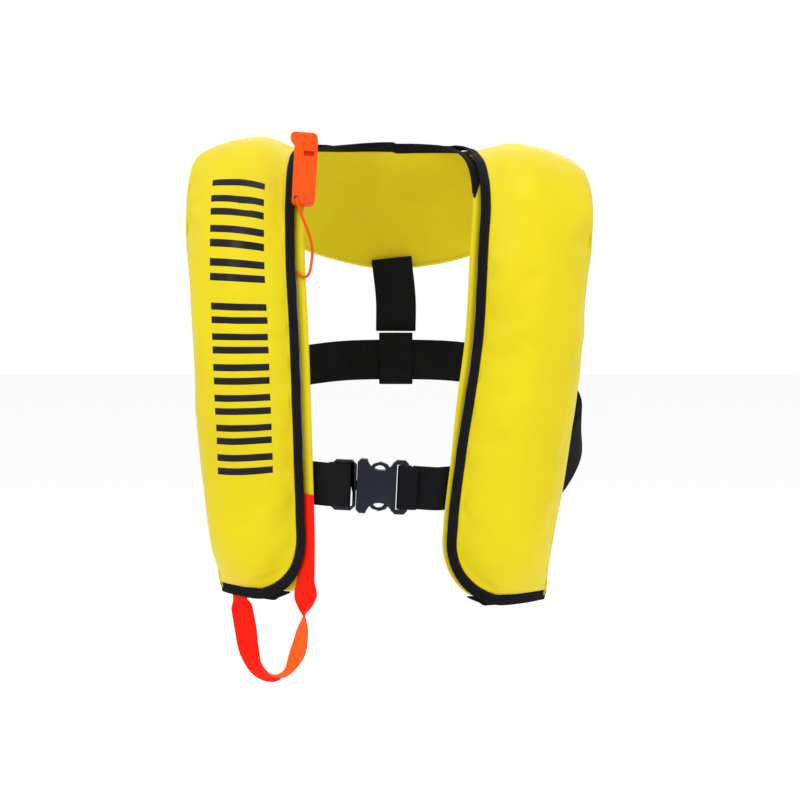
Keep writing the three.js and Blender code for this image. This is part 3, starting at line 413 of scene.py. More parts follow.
@dataclass
class Horseshoe:
    """The jacket's body as a pattern: lengths along it, across it and out from its lining, in millimetres.

    A place on it has three numbers: along, from the left lobe's bottom over the shoulders to the right
    lobe's, s, across from the neck edge, and n, out from the lining's back. d is the length up from the
    nearer lobe's bottom.
    """

    drop: float = 402
    lobe_width: float = 110
    left_thickness: float = 37.4
    right_thickness: float = 30
    collar_thickness: float = 25
    arch: float = 6
    corner: float = 58
    rim: float = 18
    closed: float = 5.8
    fold_inset: float = 6
    fold_low: float = 6.5
    fold_high: float = 15
    neck_margin: float = 16
    front_margin: float = 7
    binding: float = 9
    above_flap: float = 94
    above_shoulder: float = 30
    # Inner edge, direction across, and share of the lobe's width, from the left bottom round to the right.
    pattern: tuple = (
        ((-74, -116, -402), (-72, 60, 3), 0.89), ((-75, -118, -340), (-79, 66, 0), 0.95),
        ((-77, -120, -270), (-86, 67, 0), 1), ((-80, -120, -175), (-89, 66, 0), 1),
        ((-84, -110, -95), (-89, 62, 2), 1), ((-85, -87, -48), (-88, 55, -4), 0.98),
        ((-84, -54, -20), (-91, 44, -12), 0.93), ((-79, -12, -8), (-96, 24, -20), 0.88),
        ((-66, 24, -5), (-95, 18, -37), 0.92), ((-48, 52, -4), (-84, 22, -70), 1),
        ((-25, 70, -3), (-57, 28, -100), 1.06), ((0, 77, -3), (0, 33, -115), 1.08),
        ((25, 70, -3), (57, 28, -100), 1.06), ((44, 52, -4), (84, 22, -72), 1.02),
        ((55, 24, -6), (97, 18, -44), 0.98), ((62, -12, -10), (101, 22, -30), 0.96),
        ((69, -54, -22), (99, 42, -22), 0.97), ((72, -87, -48), (95, 51, -12), 0.98),
        ((69, -110, -95), (94, 58, -5), 1), ((64, -120, -175), (93, 59, 0), 1),
        ((50, -120, -270), (96, 55, 0), 1), ((42, -118, -345), (93, 54, 0), 0.98),
        ((44, -116, -405), (82, 58, 0), 0.93),
    )

    def __post_init__(self) -> None:
        """Works out both edges, the length along the middle, and the two hinge lines."""
        self.flap = self.drop - self.above_flap
        self.shoulder = self.drop - self.above_shoulder
        self.inner = np.array([at for at, _, _ in self.pattern], float)
        across = unit(np.array([way for _, way, _ in self.pattern], float))
        share = np.array([s for _, _, s in self.pattern])[:, None]
        self.outer = self.inner + across * share * self.lobe_width
        self.shares = np.linspace(0, 1, 881)
        middle = self.middle(self.shares)
        self.lengths = np.concatenate([[0], np.cumsum(np.linalg.norm(np.diff(middle, axis=0), axis=1))])
        self.total = float(self.lengths[-1])
        self.hinge = {}
        for side in Side:
            low, high = (self.at(side, np.array([d])) for d in (0.0, self.flap))
            ends = []
            for along, height in ((low, self.fold_low), (high, self.fold_high)):
                ends.append(self.place(along, self.frame(along)[4] - self.fold_inset, np.array([height]))[0])
            self.hinge[side] = (ends[0], ends[1], unit(ends[1] - ends[0]))

    def middle(self, share: np.ndarray) -> np.ndarray:
        """Points midway between both edges."""
        return (catmull_rom(self.inner, share) + catmull_rom(self.outer, share)) / 2

    def at(self, side: Side, d: np.ndarray) -> np.ndarray:
        """Length along the horseshoe of a length up from a lobe's bottom."""
        return d if side is Side.LEFT else self.total - d

    def low(self, along: np.ndarray) -> np.ndarray:
        """Length up from the bottom of the nearer lobe."""
        return np.minimum(along, self.total - along)

    def frame(self, along: np.ndarray) -> tuple:
        """The pattern's own axes.

        Args:
            along: lengths along the horseshoe, (n,).

        Returns:
            Origins on the inner edge, directions across, out and forward, each (n, 3), and widths, (n,).
        """
        share = np.interp(along, self.lengths, self.shares)
        origin = catmull_rom(self.inner, share)
        across = catmull_rom(self.outer, share) - origin
        width = np.linalg.norm(across, axis=-1)
        across = unit(across)
        run = self.middle(np.minimum(share + 1e-3, 1)) - self.middle(np.maximum(share - 1e-3, 0))
        out = unit(np.cross(run, across))
        return origin, across, out, unit(np.cross(across, out)), width

    def bow(self, s: np.ndarray, width: np.ndarray) -> np.ndarray:
        """How far the lining bows out: flat up to the rim, then a parabola to the outer edge."""
        share = np.clip((s - self.rim) / (width - self.rim), 0, 1)
        return self.arch * 4 * share * (1 - share)

    def place(self, along: np.ndarray, s: np.ndarray, n: np.ndarray) -> np.ndarray:
        """Points at a length along, s across from the inner edge and n out from the lining's back."""
        origin, across, out, _, width = self.frame(along)
        return origin + across * s[..., None] + out * (n + self.bow(s, width))[..., None]

    def fold(self, along: np.ndarray) -> tuple[np.ndarray, np.ndarray]:
        """Where the cover folds round the outer edge: on the straight hinge line up to the flap's top, then
        settling to the collar's middle.

        Args:
            along: lengths along the horseshoe.

        Returns:
            s and n at each.
        """
        origin, across, out, forward, width = self.frame(along)
        d = self.low(along)
        settle = np.clip((d - self.flap) / 120, 0, 1)
        s = width - self.fold_inset
        n = self.fold_high + (self.collar_thickness / 2 - self.fold_high) * settle
        for side in Side:
            start, _, axis = self.hinge[side]
            mine = (d < self.flap) & ((along < self.total / 2) == (side is Side.LEFT))
            gap = np.sum((origin - start) * forward, -1) / np.sum(axis * forward, -1)
            hit = start + axis * gap[..., None] - origin
            across_hit = np.sum(hit * across, -1)
            s = np.where(mine, across_hit, s)
            n = np.where(mine, np.sum(hit * out, -1) - self.bow(across_hit, width), n)
        return s, n

    def thickness(self, along: np.ndarray) -> np.ndarray:
        """Packed thickness: flat at the bottom rim, then full, easing to the collar's over the shoulder.

        Args:
            along: lengths along the horseshoe.

        Returns:
            Millimetres at each.
        """
        d = self.low(along)
        front = np.where(along < self.total / 2, self.left_thickness, self.right_thickness)
        over = smoothstep((d - (self.shoulder - 137)) / 110)
        full = front + (self.collar_thickness - front) * over
        rise = np.sin(np.pi / 2 * np.clip((d - self.rim * 0.5) / 52, 0, 1)) ** 0.8
        return self.closed + (full - self.closed) * rise

    def fullness(self, along: np.ndarray) -> np.ndarray:
        """How far the right lobe's outer edge stands out at its waist, with smooth steps at both ends.

        Args:
            along: lengths along the horseshoe.

        Returns:
            Millimetres at each.
        """
        d = self.low(along)
        waist = smoothstep((d - 20) / 80) * (1 - smoothstep((d - 190) / 110))
        return np.where(along > self.total / 2, 5.0, 0.0) * waist

    def shoulder_share(self, along: np.ndarray) -> np.ndarray:
        """1 on top of the shoulders, where the lobe lies flatter and squarer, easing to 0 on both sides."""
        d = self.low(along)
        return smoothstep((d - 300) / 70) * (1 - smoothstep((d - 470) / 70))

    def corner_start(self, d: np.ndarray, margin: float) -> np.ndarray:
        """Where the rounded bottom corner puts an edge: on a circle about the corner's middle.

        Args:
            d: lengths up the lobe.
            margin: how far inside the outline the edge lies.

        Returns:
            s at each.
        """
        radius = self.corner - margin
        rise = np.clip(self.corner - np.maximum(d, margin), 0, None)
        curved = self.corner - np.sqrt(np.clip(radius**2 - rise**2, 0, None))
        return np.where(rise <= 0, margin, curved)

    def lining_start(self, along: np.ndarray) -> np.ndarray:
        """Inner edge of the lining, which stands out past the cover by a margin that grows to the neck's.

        Args:
            along: lengths along the horseshoe.

        Returns:
            s at each, 0 at the cover's edge.
        """
        d = self.low(along)
        share = np.clip((d - (self.shoulder - 172)) / 120, 0, 1)
        right = 1.5 + 4 * smoothstep((d - 120) / 90)
        front = np.where(along < self.total / 2, self.front_margin, right)
        margin = front + (self.neck_margin - front) * share
        return np.maximum(self.corner_start(d, 0) - front, -margin)

    def fitting(self, side: Side, d: float, s: float, n: float = 0) -> np.ndarray:
        """Axes of a fitting in a lobe: X across, Y out from the chest, Z up the lobe.

        Args:
            side: the lobe.
            d: length up it.
            s: across it.
            n: out from its lining.

        Returns:
            4 by 4 matrix in millimetres.
        """
        along = self.at(side, np.array([float(d)]))
        _, across, out, forward, _ = self.frame(along)
        sign = 1 if side is Side.LEFT else -1
        matrix = np.eye(4)
        matrix[:3, 0] = across[0] * sign
        matrix[:3, 1] = out[0]
        matrix[:3, 2] = forward[0] * sign
        matrix[:3, 3] = self.place(along, np.array([float(s)]), np.array([float(n)]))[0]
        return matrix


SHAPE = Horseshoe()


# ---------------------------------------------------------------- finishes
class Nodes:
    """A material's node tree, with short ways to add and link nodes."""

    def __init__(self, name: str) -> None:
        """Starts a material with its shader and output.

        Args:
            name: the material's name.
        """
        self.material = bpy.data.materials.new(name)
        self.material.use_nodes = True
        self.tree = self.material.node_tree
        self.shader = self.tree.nodes["Principled BSDF"]

    def add(self, kind: str, **values: object) -> bpy.types.Node:
        """Adds a node.

        Args:
            kind: its Blender type.
            values: its properties by lower-case names, and its inputs by names with a capital.

        Returns:
            The node.
        """
        node = self.tree.nodes.new(kind)
        for key, value in values.items():
            if key[0].isupper():
                node.inputs[key.replace("_", " ")].default_value = value
            else:
                setattr(node, key, value)
        return node

    def link(self, source: bpy.types.NodeSocket, target: bpy.types.NodeSocket) -> None:
        """Joins two sockets."""
        self.tree.links.new(source, target)

    def maths(self, operation: str, a: object, b: object = 0.0) -> bpy.types.NodeSocket:
        """Adds a math node.

        Args:
            operation: its Blender name.
            a: first socket or number.
            b: second socket or number.

        Returns:
            The result's socket.
        """
        node = self.tree.nodes.new("ShaderNodeMath")
        node.operation = operation
        for socket, value in zip(node.inputs, (a, b)):
            if isinstance(value, bpy.types.NodeSocket):
                self.link(value, socket)
            else:
                socket.default_value = value
        return node.outputs[0]

    def blend(self, share: bpy.types.NodeSocket, a: object, b: object) -> bpy.types.NodeSocket:
        """Adds a mix of two colours.

        Args:
            share: 0 for a, 1 for b.
            a: first socket or colour.
            b: second socket or colour.

        Returns:
            The colour's socket.
        """
        node = self.tree.nodes.new("ShaderNodeMix")
        node.data_type = "RGBA"
        self.link(share, node.inputs["Factor"])
        for socket, value in ((node.inputs[6], a), (node.inputs[7], b)):
            if isinstance(value, bpy.types.NodeSocket):
                self.link(value, socket)
            else:
                socket.default_value = (*value, 1)
        return node.outputs[2]

    def noise(self, where: bpy.types.NodeSocket, scale: float, detail: float = 3) -> bpy.types.NodeSocket:
        """Adds noise.

        Args:
            where: the place's socket.
            scale: features in a metre.
            detail: octaves.

        Returns:
            Its value's socket, about 0.5.
        """
        node = self.add("ShaderNodeTexNoise", Scale=scale, Detail=detail)
        self.link(where, node.inputs["Vector"])
        return node.outputs[0]

    def remap(self, value: bpy.types.NodeSocket, low: float, high: float, a: float,
              b: float) -> bpy.types.NodeSocket:
        """Adds a change of range, low to high made a to b.

        Args:
            value: the value's socket.
            low: made a.
            high: made b.
            a: the least result.
            b: the greatest result.

        Returns:
            The result's socket.
        """
        node = self.add("ShaderNodeMapRange", From_Min=low, From_Max=high, To_Min=a, To_Max=b)
        self.link(value, node.inputs["Value"])
        return node.outputs[0]

    def bump(self, height: bpy.types.NodeSocket, distance: float, strength: float = 1.0,
             under: bpy.types.NodeSocket | None = None) -> bpy.types.NodeSocket:
        """Adds a bump.

        Args:
            height: the height's socket, 0 to 1.
            distance: what a height of 1 stands for, in metres.
            strength: 0 to 1.
            under: a bump it lies on.

        Returns:
            The normal's socket.
        """
        node = self.add("ShaderNodeBump", Distance=distance, Strength=strength)
        self.link(height, node.inputs["Height"])
        if under is not None:
            self.link(under, node.inputs["Normal"])
        return node.outputs[0]


@dataclass(frozen=True)
class ClothFinish:
    """A woven, coated cloth: its colour, how it varies, and its weave."""

    name: str
    colour: tuple[float, float, float]
    deep: tuple[float, float, float]
    roughness: float = 0.5
    sheen: float = 0.0
    weave: float = 2600
    depth: float = 0.00006
    specular: float = 0.2
    printed: bool = False

    def build(self) -> bpy.types.Material:
        """Makes the material.

        Returns:
            A cloth with a fine crossed weave, slow changes of shade, and printed plain bars if asked.
        """
        n = Nodes(self.name)
        where = n.add("ShaderNodeTexCoord").outputs["Object"]
        slow = n.remap(n.noise(where, 14, 4), 0.3, 0.7, 0, 1)
        colour = n.blend(slow, self.deep, self.colour)
        rough = n.remap(n.noise(where, 60, 5), 0.3, 0.7, self.roughness - 0.06, self.roughness + 0.06)
        threads = []
        for direction in ("X", "Z"):
            wave = n.add("ShaderNodeTexWave", wave_type="BANDS", bands_direction=direction,
                         Scale=self.weave / 20, Distortion=1.2, Detail=1.0, Detail_Scale=2.0)
            n.link(where, wave.inputs["Vector"])
            threads.append(wave.outputs["Fac"])
        weave = n.maths("MULTIPLY", threads[0], threads[1])
        fine = n.maths("ADD", weave, n.maths("MULTIPLY", n.noise(where, 900, 2), 0.5))
        if self.printed:
            ink = self.bars(n)
            colour = n.blend(ink, colour, (0.004, 0.004, 0.006))
            rough = n.maths("SUBTRACT", rough, n.maths("MULTIPLY", ink, 0.12))
        n.link(colour, n.shader.inputs["Base Color"])
        n.link(rough, n.shader.inputs["Roughness"])
        broad = n.bump(n.noise(where, 110, 4), 0.0003, 0.5)
        n.link(n.bump(fine, self.depth, 0.6, under=broad), n.shader.inputs["Normal"])
        n.shader.inputs["Sheen Weight"].default_value = self.sheen
        n.shader.inputs["Sheen Roughness"].default_value = 0.5
        n.shader.inputs["Specular IOR Level"].default_value = self.specular
        return n.material

    @staticmethod
    def bars(n: Nodes) -> bpy.types.NodeSocket:
        """Pairs of plain printed bars across the lobe, one pair after another up it: 1 on the ink.

        Args:
            n: the material's nodes; its UV runs in metres up the lobe and in from its inner edge.

        Returns:
            The mask.
        """
        bottom, length, pitch = 0.116, 0.2465, 0.0255
        first, second, across_lobe = (0, 0.0058), (0.0112, 0.017), (0.028, 0.079)
        gap_start, gap_end = 0.152, 0.161
        split = n.add("ShaderNodeSeparateXYZ")
        n.link(n.add("ShaderNodeUVMap", uv_map="UVMap").outputs[0], split.inputs[0])
        up, across = split.outputs[0], split.outputs[1]

        def within(value: bpy.types.NodeSocket, low: float, high: float) -> bpy.types.NodeSocket:
            """1 between two values."""
            return n.maths("MULTIPLY", n.maths("GREATER_THAN", value, low), n.maths("LESS_THAN", value, high))

        step = n.maths("SUBTRACT", up, bottom)
        later = n.maths("GREATER_THAN", step, gap_start)
        shifted = n.maths("SUBTRACT", step, n.maths("MULTIPLY", later, 0.009))
        beat = n.maths("MODULO", shifted, pitch)
        pair = n.maths("ADD", within(beat, *first), within(beat, *second))
        gap = within(step, gap_start, gap_end)
        area = n.maths("MULTIPLY", within(step, 0, length), within(across, *across_lobe))
        return n.maths("MULTIPLY", n.maths("MULTIPLY", pair, area), n.maths("SUBTRACT", 1.0, gap))


@dataclass(frozen=True)
class WebFinish:
    """Webbing with ribs across it and picks along it, from the piece's UV in metres.

    The UV is one metre on for the back face, which may have a colour of its own.
    """

    name: str
    colour: tuple[float, float, float]
    # The second colour is painted shade laid into the valleys between the ribs, and also the dark end of a
    # slow random change of tone.
    other: tuple[float, float, float]
    rib: float = 0.0017
    pick: float = 0.0034
    roughness: float = 0.8
    sheen: float = 0.0
    back: tuple[float, float, float] | None = None

    def build(self) -> bpy.types.Material:
        """Makes the material.

        Returns:
            Webbing: ribs as the root of a sine along it, a lighter sine across, painted shade darkening the
                valleys between the ribs, and slow random changes of tone.
        """
        n = Nodes(self.name)
        split = n.add("ShaderNodeSeparateXYZ")
        n.link(n.add("ShaderNodeUVMap", uv_map="UVMap").outputs[0], split.inputs[0])
        where = n.add("ShaderNodeTexCoord").outputs["Object"]
        turn = 2 * math.pi
        back_starts = 0.5
        along = n.maths("SINE", n.maths("MULTIPLY", split.outputs[0], turn / self.rib / 2))
        across = n.maths("SINE", n.maths("MULTIPLY", split.outputs[1], turn / self.pick))
        rib = n.maths("POWER", n.maths("ABSOLUTE", along), 0.7)
        height = n.maths("ADD", rib, n.maths("MULTIPLY", across, 0.15))
        slow = n.maths("MULTIPLY", n.noise(where, 30, 4), 0.45)
        # Painted shade: the colour falls to the darker second colour in the valleys between the ribs, on top
        # of a slow random change of tone.
        shade = n.maths("ADD", n.maths("MULTIPLY", rib, 0.55), slow)
        colour = n.blend(n.remap(shade, 0.15, 0.85, 0, 1), self.other, self.colour)
        if self.back is not None:
            colour = n.blend(n.maths("GREATER_THAN", split.outputs[1], back_starts), colour, self.back)
        n.link(colour, n.shader.inputs["Base Color"])
        n.shader.inputs["Roughness"].default_value = self.roughness
        n.shader.inputs["Specular IOR Level"].default_value = 0.07
        n.shader.inputs["Sheen Weight"].default_value = self.sheen
        n.link(n.bump(height, 0.00025, 0.8), n.shader.inputs["Normal"])
        return n.material


@dataclass(frozen=True)
class SolidFinish:
    """A plastic or metal: colour, gloss and the faint unevenness of a moulding."""

    name: str
    colour: tuple[float, float, float]
    roughness: float = 0.35
    metallic: float = 0.0
    coat: float = 0.0
    grain: float = 0.00004
    specular: float = 0.4

    def build(self) -> bpy.types.Material:
        """Makes the material.

        Returns:
            A plastic or metal with slow changes of shade and gloss, and a fine grain.
        """
        n = Nodes(self.name)
        where = n.add("ShaderNodeTexCoord").outputs["Object"]
        slow = n.remap(n.noise(where, 45, 4), 0.3, 0.7, 0, 1)
        darker = tuple(0.86 * c for c in self.colour)
        n.link(n.blend(slow, darker, self.colour), n.shader.inputs["Base Color"])
        rough = n.remap(n.noise(where, 160, 6), 0.3, 0.7, self.roughness - 0.05, self.roughness + 0.07)
        n.link(rough, n.shader.inputs["Roughness"])
        n.shader.inputs["Metallic"].default_value = self.metallic
        n.shader.inputs["Coat Weight"].default_value = self.coat
        n.shader.inputs["Specular IOR Level"].default_value = self.specular
        n.link(n.bump(n.noise(where, 1400, 2), self.grain, 0.5), n.shader.inputs["Normal"])
        return n.material


YELLOW = ClothFinish("yellow_cover_cloth", (0.70, 0.575, 0.001), (0.65, 0.52, 0.0008))
PRINTED = ClothFinish("yellow_printed_cloth", (0.70, 0.575, 0.001), (0.65, 0.52, 0.0008), printed=True)
LINING = ClothFinish("yellow_lining_cloth", (0.69, 0.57, 0.004), (0.61, 0.49, 0.003), roughness=0.62)
TAPE = ClothFinish("black_binding_tape", (0.008, 0.008, 0.011), (0.004, 0.004, 0.006), roughness=0.85,
                   weave=3400, depth=0.0001, specular=0.1)
CLOSURE = ClothFinish("grey_closure_tape", (0.26, 0.26, 0.28), (0.19, 0.19, 0.21), roughness=0.9, sheen=0.2,
                      weave=1600, depth=0.0003)
BLADDER = ClothFinish("bladder_cloth", (0.72, 0.34, 0.008), (0.64, 0.28, 0.006), roughness=0.45, sheen=0.05)
# In the webbing and braid finishes, the second, darker colour is painted shade in the valleys between the
# ribs.
BLACK_WEB = WebFinish("black_webbing", (0.010, 0.010, 0.012), (0.0005, 0.0005, 0.001))
RED_WEB = WebFinish("red_webbing", (0.88, 0.016, 0.004), (0.74, 0.004, 0.001), rib=0.0016, roughness=0.6,
                    back=(0.85, 0.11, 0.012))
CORD = WebFinish("lanyard_braid", (0.85, 0.11, 0.003), (0.55, 0.04, 0.001), rib=0.0012, pick=0.0024)
BUCKLE = SolidFinish("buckle_plastic", (0.002, 0.004, 0.013), 0.25, specular=0.27)
BLACK = SolidFinish("black_plastic", (0.014, 0.015, 0.02), 0.38)
ORANGE = SolidFinish("whistle_plastic", (0.80, 0.072, 0.0005), 0.38, specular=0.15)
GREEN = SolidFinish("green_plastic", (0.02, 0.33, 0.06), 0.35)
RED = SolidFinish("red_plastic", (0.75, 0.01, 0.006), 0.35)
STEEL = SolidFinish("cylinder_steel", (0.42, 0.43, 0.45), 0.32, metallic=1.0)
SILVER = SolidFinish("reflective_film", (0.72, 0.74, 0.77), 0.3, metallic=0.3, grain=0.0001)
THREAD = SolidFinish("black_thread", (0.01, 0.01, 0.012), 0.8)


class Paints:
    """Each finish's material, made once."""

    made: dict[str, bpy.types.Material] = {}

    @classmethod
    def on(cls, piece: bpy.types.Object, finish: ClothFinish | WebFinish | SolidFinish, slot: str,
           body: str | None = VEST) -> bpy.types.Object:
        """Gives a piece its material and the body it rides on.

        Args:
            piece: the piece.
            finish: a finish from above.
            slot: the record's material slot; not used.
            body: its body, or None where it lies across two.

        Returns:
            The piece.
        """
        if finish.name not in cls.made:
            cls.made[finish.name] = finish.build()
        piece.data.materials.clear()
        piece.data.materials.append(cls.made[finish.name])
        if body is not None:
            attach(piece, body)
        log.info("%s: %d faces", piece.name, len(piece.data.polygons))
        return piece


# ---------------------------------------------------------------- stage
@dataclass(frozen=True)
class Stage:
    """Camera, even light and a plain pale room."""

    distance: float = 2.3
    pitch: float = 4.0
    lens: float = 119.5
    centre: tuple[float, float, float] = (0.004, -0.115, -0.2235)
    floor: float = -0.75
    reach: float = 9.0

    def build(self) -> None:
        """Makes the camera, the lights, the world and the floor."""
        scene = bpy.context.scene
        camera = bpy.data.objects.new("camera", bpy.data.cameras.new("camera"))
        camera.data.lens = self.lens
        camera.data.clip_start = 0.05
        aim = Vector(self.centre)
        turn = math.radians(self.pitch)
        camera.location = aim + self.distance * Vector((0, -math.cos(turn), math.sin(turn)))
        camera.rotation_euler = (aim - camera.location).to_track_quat("-Z", "Y").to_euler()
        bpy.context.collection.objects.link(camera)
        scene.camera = camera
        scene.view_settings.view_transform = "Standard"
        for name, at, size, power in (
            ("key", (-1.1, -1.8, 1.5), 1.0, 15), ("fill", (1.5, -1.9, 0.5), 1.6, 6),
            ("top", (0, -0.2, 1.9), 1.4, 9), ("back", (0.3, 1.9, 0.9), 1.6, 8),
        ):
            data = bpy.data.lights.new(name, "AREA")
            data.size = size
            data.energy = power
            light = bpy.data.objects.new(name, data)
            light.location = at
            light.rotation_euler = (Vector((0, 0, -0.2)) - light.location).to_track_quat("-Z", "Y").to_euler()
            bpy.context.collection.objects.link(light)
        world = bpy.data.worlds.new("room")
        world.use_nodes = True
        world.node_tree.nodes["Background"].inputs["Color"].default_value = (1, 1, 1, 1)
        world.node_tree.nodes["Background"].inputs["Strength"].default_value = 1.0
        scene.world = world
        corners = np.array([(x * self.reach, y * self.reach, self.floor) for x, y in
                            ((-1, -1), (1, -1), (1, 1), (-1, 1))])
        floor = make_mesh("floor", corners / MM, [[0, 1, 2, 3]], smooth=False)
        n = Nodes("pale_floor")
        n.shader.inputs["Base Color"].default_value = (0.96, 0.96, 0.96, 1)
        n.shader.inputs["Roughness"].default_value = 1.0
        n.shader.inputs["Specular IOR Level"].default_value = 0.0
        floor.data.materials.append(n.material)


@dataclass
class Cover:
    """The cover of one side, from its lobe's bottom over the shoulder to the seam behind the neck.

    Its section runs from the neck edge to the outer edge: a flat rim, a rise to the crest, and a fall whose
    squareness is a superellipse's power, 1 for a round one and less for a squarer one.
    """

    side: Side
    step: float = 4.0
    columns: int = 34
    rim: float = 0.10
    rim_width: float = 13.5
    crest: float = 0.45
    crest_place: float = 0.47
    swell: float = 1.5
    square: float = 0.77
    squarer_shoulder: float = 0.27
    rounder_bottom: float = 0.36
    flatter_shoulder: float = 6.5
    cloth: float = 0.9
    growth: float = 0.014
    pressure: float = 0.7
    frames: int = 20
    cap: float = 3.0
    seed: float = field(init=False)

    def __post_init__(self) -> None:
        """Sets the phase of this side's creases."""
        self.seed = 0.0 if self.side is Side.LEFT else 2.7

    def profile(self, along: np.ndarray, f: np.ndarray) -> tuple[np.ndarray, np.ndarray]:
        """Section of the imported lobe: level to the rim, then a rise that mixes a sine and a power, then a
        superellipse down to the fold.

        Args:
            along: lengths along the horseshoe.
            f: share of the way across, 0 to 1.

        Returns:
            s and n at each.
        """
        d = SHAPE.low(along)
        width = SHAPE.frame(along.ravel())[4].reshape(along.shape)
        fold, height = (v.reshape(along.shape) for v in SHAPE.fold(along.ravel()))
        start = SHAPE.corner_start(d, SHAPE.binding) + 1
        base = start - SHAPE.binding
        edge = width + self.swell + SHAPE.fullness(along)
        half = base + (edge - base) * self.crest_place
        shoulder, bottom = SHAPE.shoulder_share(along), 1 - smoothstep((d - 10) / 120)
        square = self.square - self.squarer_shoulder * shoulder + self.rounder_bottom * bottom
        top = np.maximum(SHAPE.thickness(along) - self.flatter_shoulder * shoulder, height + 2.5)
        rise = np.clip((f - self.rim) / (self.crest - self.rim), 0, 1)
        fall = np.clip((f - self.crest) / (1 - self.crest), 0, 1) * np.pi / 2
        rim_end = np.minimum(base + self.rim_width, half - 4)
        level = start + (rim_end - start) * f / self.rim
        s = np.where(f < self.rim, level, rim_end + (half - rim_end) * rise)
        ease = np.sin(np.pi / 2 * rise)
        lift = 1 - (1 - rise) ** 2.3
        n = SHAPE.closed + (top - SHAPE.closed) * (0.45 * ease + 0.55 * lift)
        sine, cosine = np.sin(fall) ** square, np.clip(np.cos(fall), 0, 1) ** square
        beyond = f >= self.crest
        s = np.where(beyond, half + (edge - half) * sine, s)
        n = np.where(beyond, height + 2 + (top - height - 2) * cosine, n)
        return s, n

    def creases(self, along: np.ndarray, f: np.ndarray) -> np.ndarray:
        """Height of the cloth's creases: puckers square to the sewn edges that die out across the lobe, and
        slow hollows between the folds of the bladder underneath, both sums of sines of unrelated lengths.

        Args:
            along: lengths along the horseshoe.
            f: share of the way across.

        Returns:
            Millimetres out.
        """
        a, p = along, self.seed
        pucker = (np.sin(a / 5.3 + p) + np.sin(a / 8.9 + 2 * p + 1.3) + np.sin(a / 13.7 + p * 3)) / 3
        near = np.exp(-((f * 9) ** 1.2)) * np.clip(f / 0.05, 0, 1)
        edge = np.exp(-(((1 - f) * 7) ** 1.3)) * np.clip((1 - f) / 0.06, 0, 1)
        slow = np.sin(a / 37 + 3.1 * f + p) + np.sin(a / 61 - 5.0 * f + 2 * p) + 0.6 * np.sin(a / 23 + 9 * f)
        slow = slow / 2.6
        calm = np.sin(np.pi * np.clip(f, 0, 1)) ** 0.8
        return 0.75 * pucker * near + 0.55 * pucker * edge + 0.9 * slow * calm

    def grid(self) -> tuple[np.ndarray, np.ndarray]:
        """Works out the cover's grid, closer spaced at the bottom edge.

        Returns:
            Points, (rows, columns, 3), and their UVs, in metres up the lobe and in from its edge.
        """
        low, high = SHAPE.binding + 1, SHAPE.total / 2 - 0.2
        near = low + np.array([0, 1.2, 2.6, 4.2, 6.2, 8.6, 11.4, 14.6, 18])
        even = low + 22
        rows = np.concatenate([near, np.linspace(even, high, int((high - even) / self.step) + 1)])
        f = np.linspace(0, 1, self.columns)
        along = np.broadcast_to(SHAPE.at(self.side, rows)[:, None], (len(rows), len(f)))
        share = np.broadcast_to(f[None], along.shape)
        s, n = self.profile(along, share)
        bottom = np.clip(SHAPE.low(along) / 40, 0, 1)
        n = n + self.creases(along, share) * bottom
        points = SHAPE.place(along.ravel(), s.ravel(), n.ravel()).reshape(*along.shape, 3)
        steps = np.linalg.norm(np.diff(points, axis=1), axis=2)
        arc = np.concatenate([np.zeros((len(rows), 1)), np.cumsum(steps, axis=1)], axis=1)
        uv = np.stack([np.broadcast_to(rows[:, None], along.shape), arc + SHAPE.binding], -1) * MM
        return points, uv

    def drape(self, piece: bpy.types.Object, rows: int) -> None:
        """Lets the cloth grow a little between its sewn edges, with some pressure from inside, and settle. No
        point moves further than the cap.

        Args:
            piece: the cover, a grid.
            rows: its rows.
        """
        mesh = piece.data
        rest = np.empty(len(mesh.vertices) * 3)
        mesh.vertices.foreach_get("co", rest)
        rest = rest.reshape(-1, 3)
        held = np.zeros((rows, self.columns), bool)
        held[[0, -1], :] = True
        held[:, [0, 1, -1]] = True
        group = piece.vertex_groups.new(name="held")
        group.add(np.flatnonzero(held.ravel()).tolist(), 1.0, "ADD")
        cloth = piece.modifiers.new("cloth", "CLOTH")
        settings = cloth.settings
        settings.quality = 6
        settings.mass = 0.25
        settings.tension_stiffness = settings.compression_stiffness = 18
        settings.shear_stiffness = 6
        settings.bending_stiffness = 0.6
        settings.vertex_group_mass = "held"
        settings.shrink_min = -self.growth
        settings.shrink_max = -self.growth
        settings.use_pressure = True
        settings.uniform_pressure_force = self.pressure
        settings.effector_weights.gravity = 0
        cloth.point_cache.frame_start, cloth.point_cache.frame_end = 1, self.frames + 4
        for number in range(1, self.frames + 1):
            bpy.context.scene.frame_set(number)
        graph = bpy.context.evaluated_depsgraph_get()
        shaped = piece.evaluated_get(graph).to_mesh()
        moved = np.empty(len(rest) * 3)
        shaped.vertices.foreach_get("co", moved)
        piece.evaluated_get(graph).to_mesh_clear()
        piece.modifiers.clear()
        piece.vertex_groups.clear()
        bpy.context.scene.frame_set(1)
        shift = moved.reshape(-1, 3) - rest
        size = np.linalg.norm(shift, axis=1, keepdims=True)
        shift *= np.minimum(1, self.cap * MM / np.maximum(size, 1e-9))
        shift[~np.isfinite(shift)] = 0
        mesh.vertices.foreach_set("co", (rest + shift).ravel())
        mesh.update()
        log.info("%s: cloth moved up to %.1f mm", piece.name, float(size.max()) / MM)

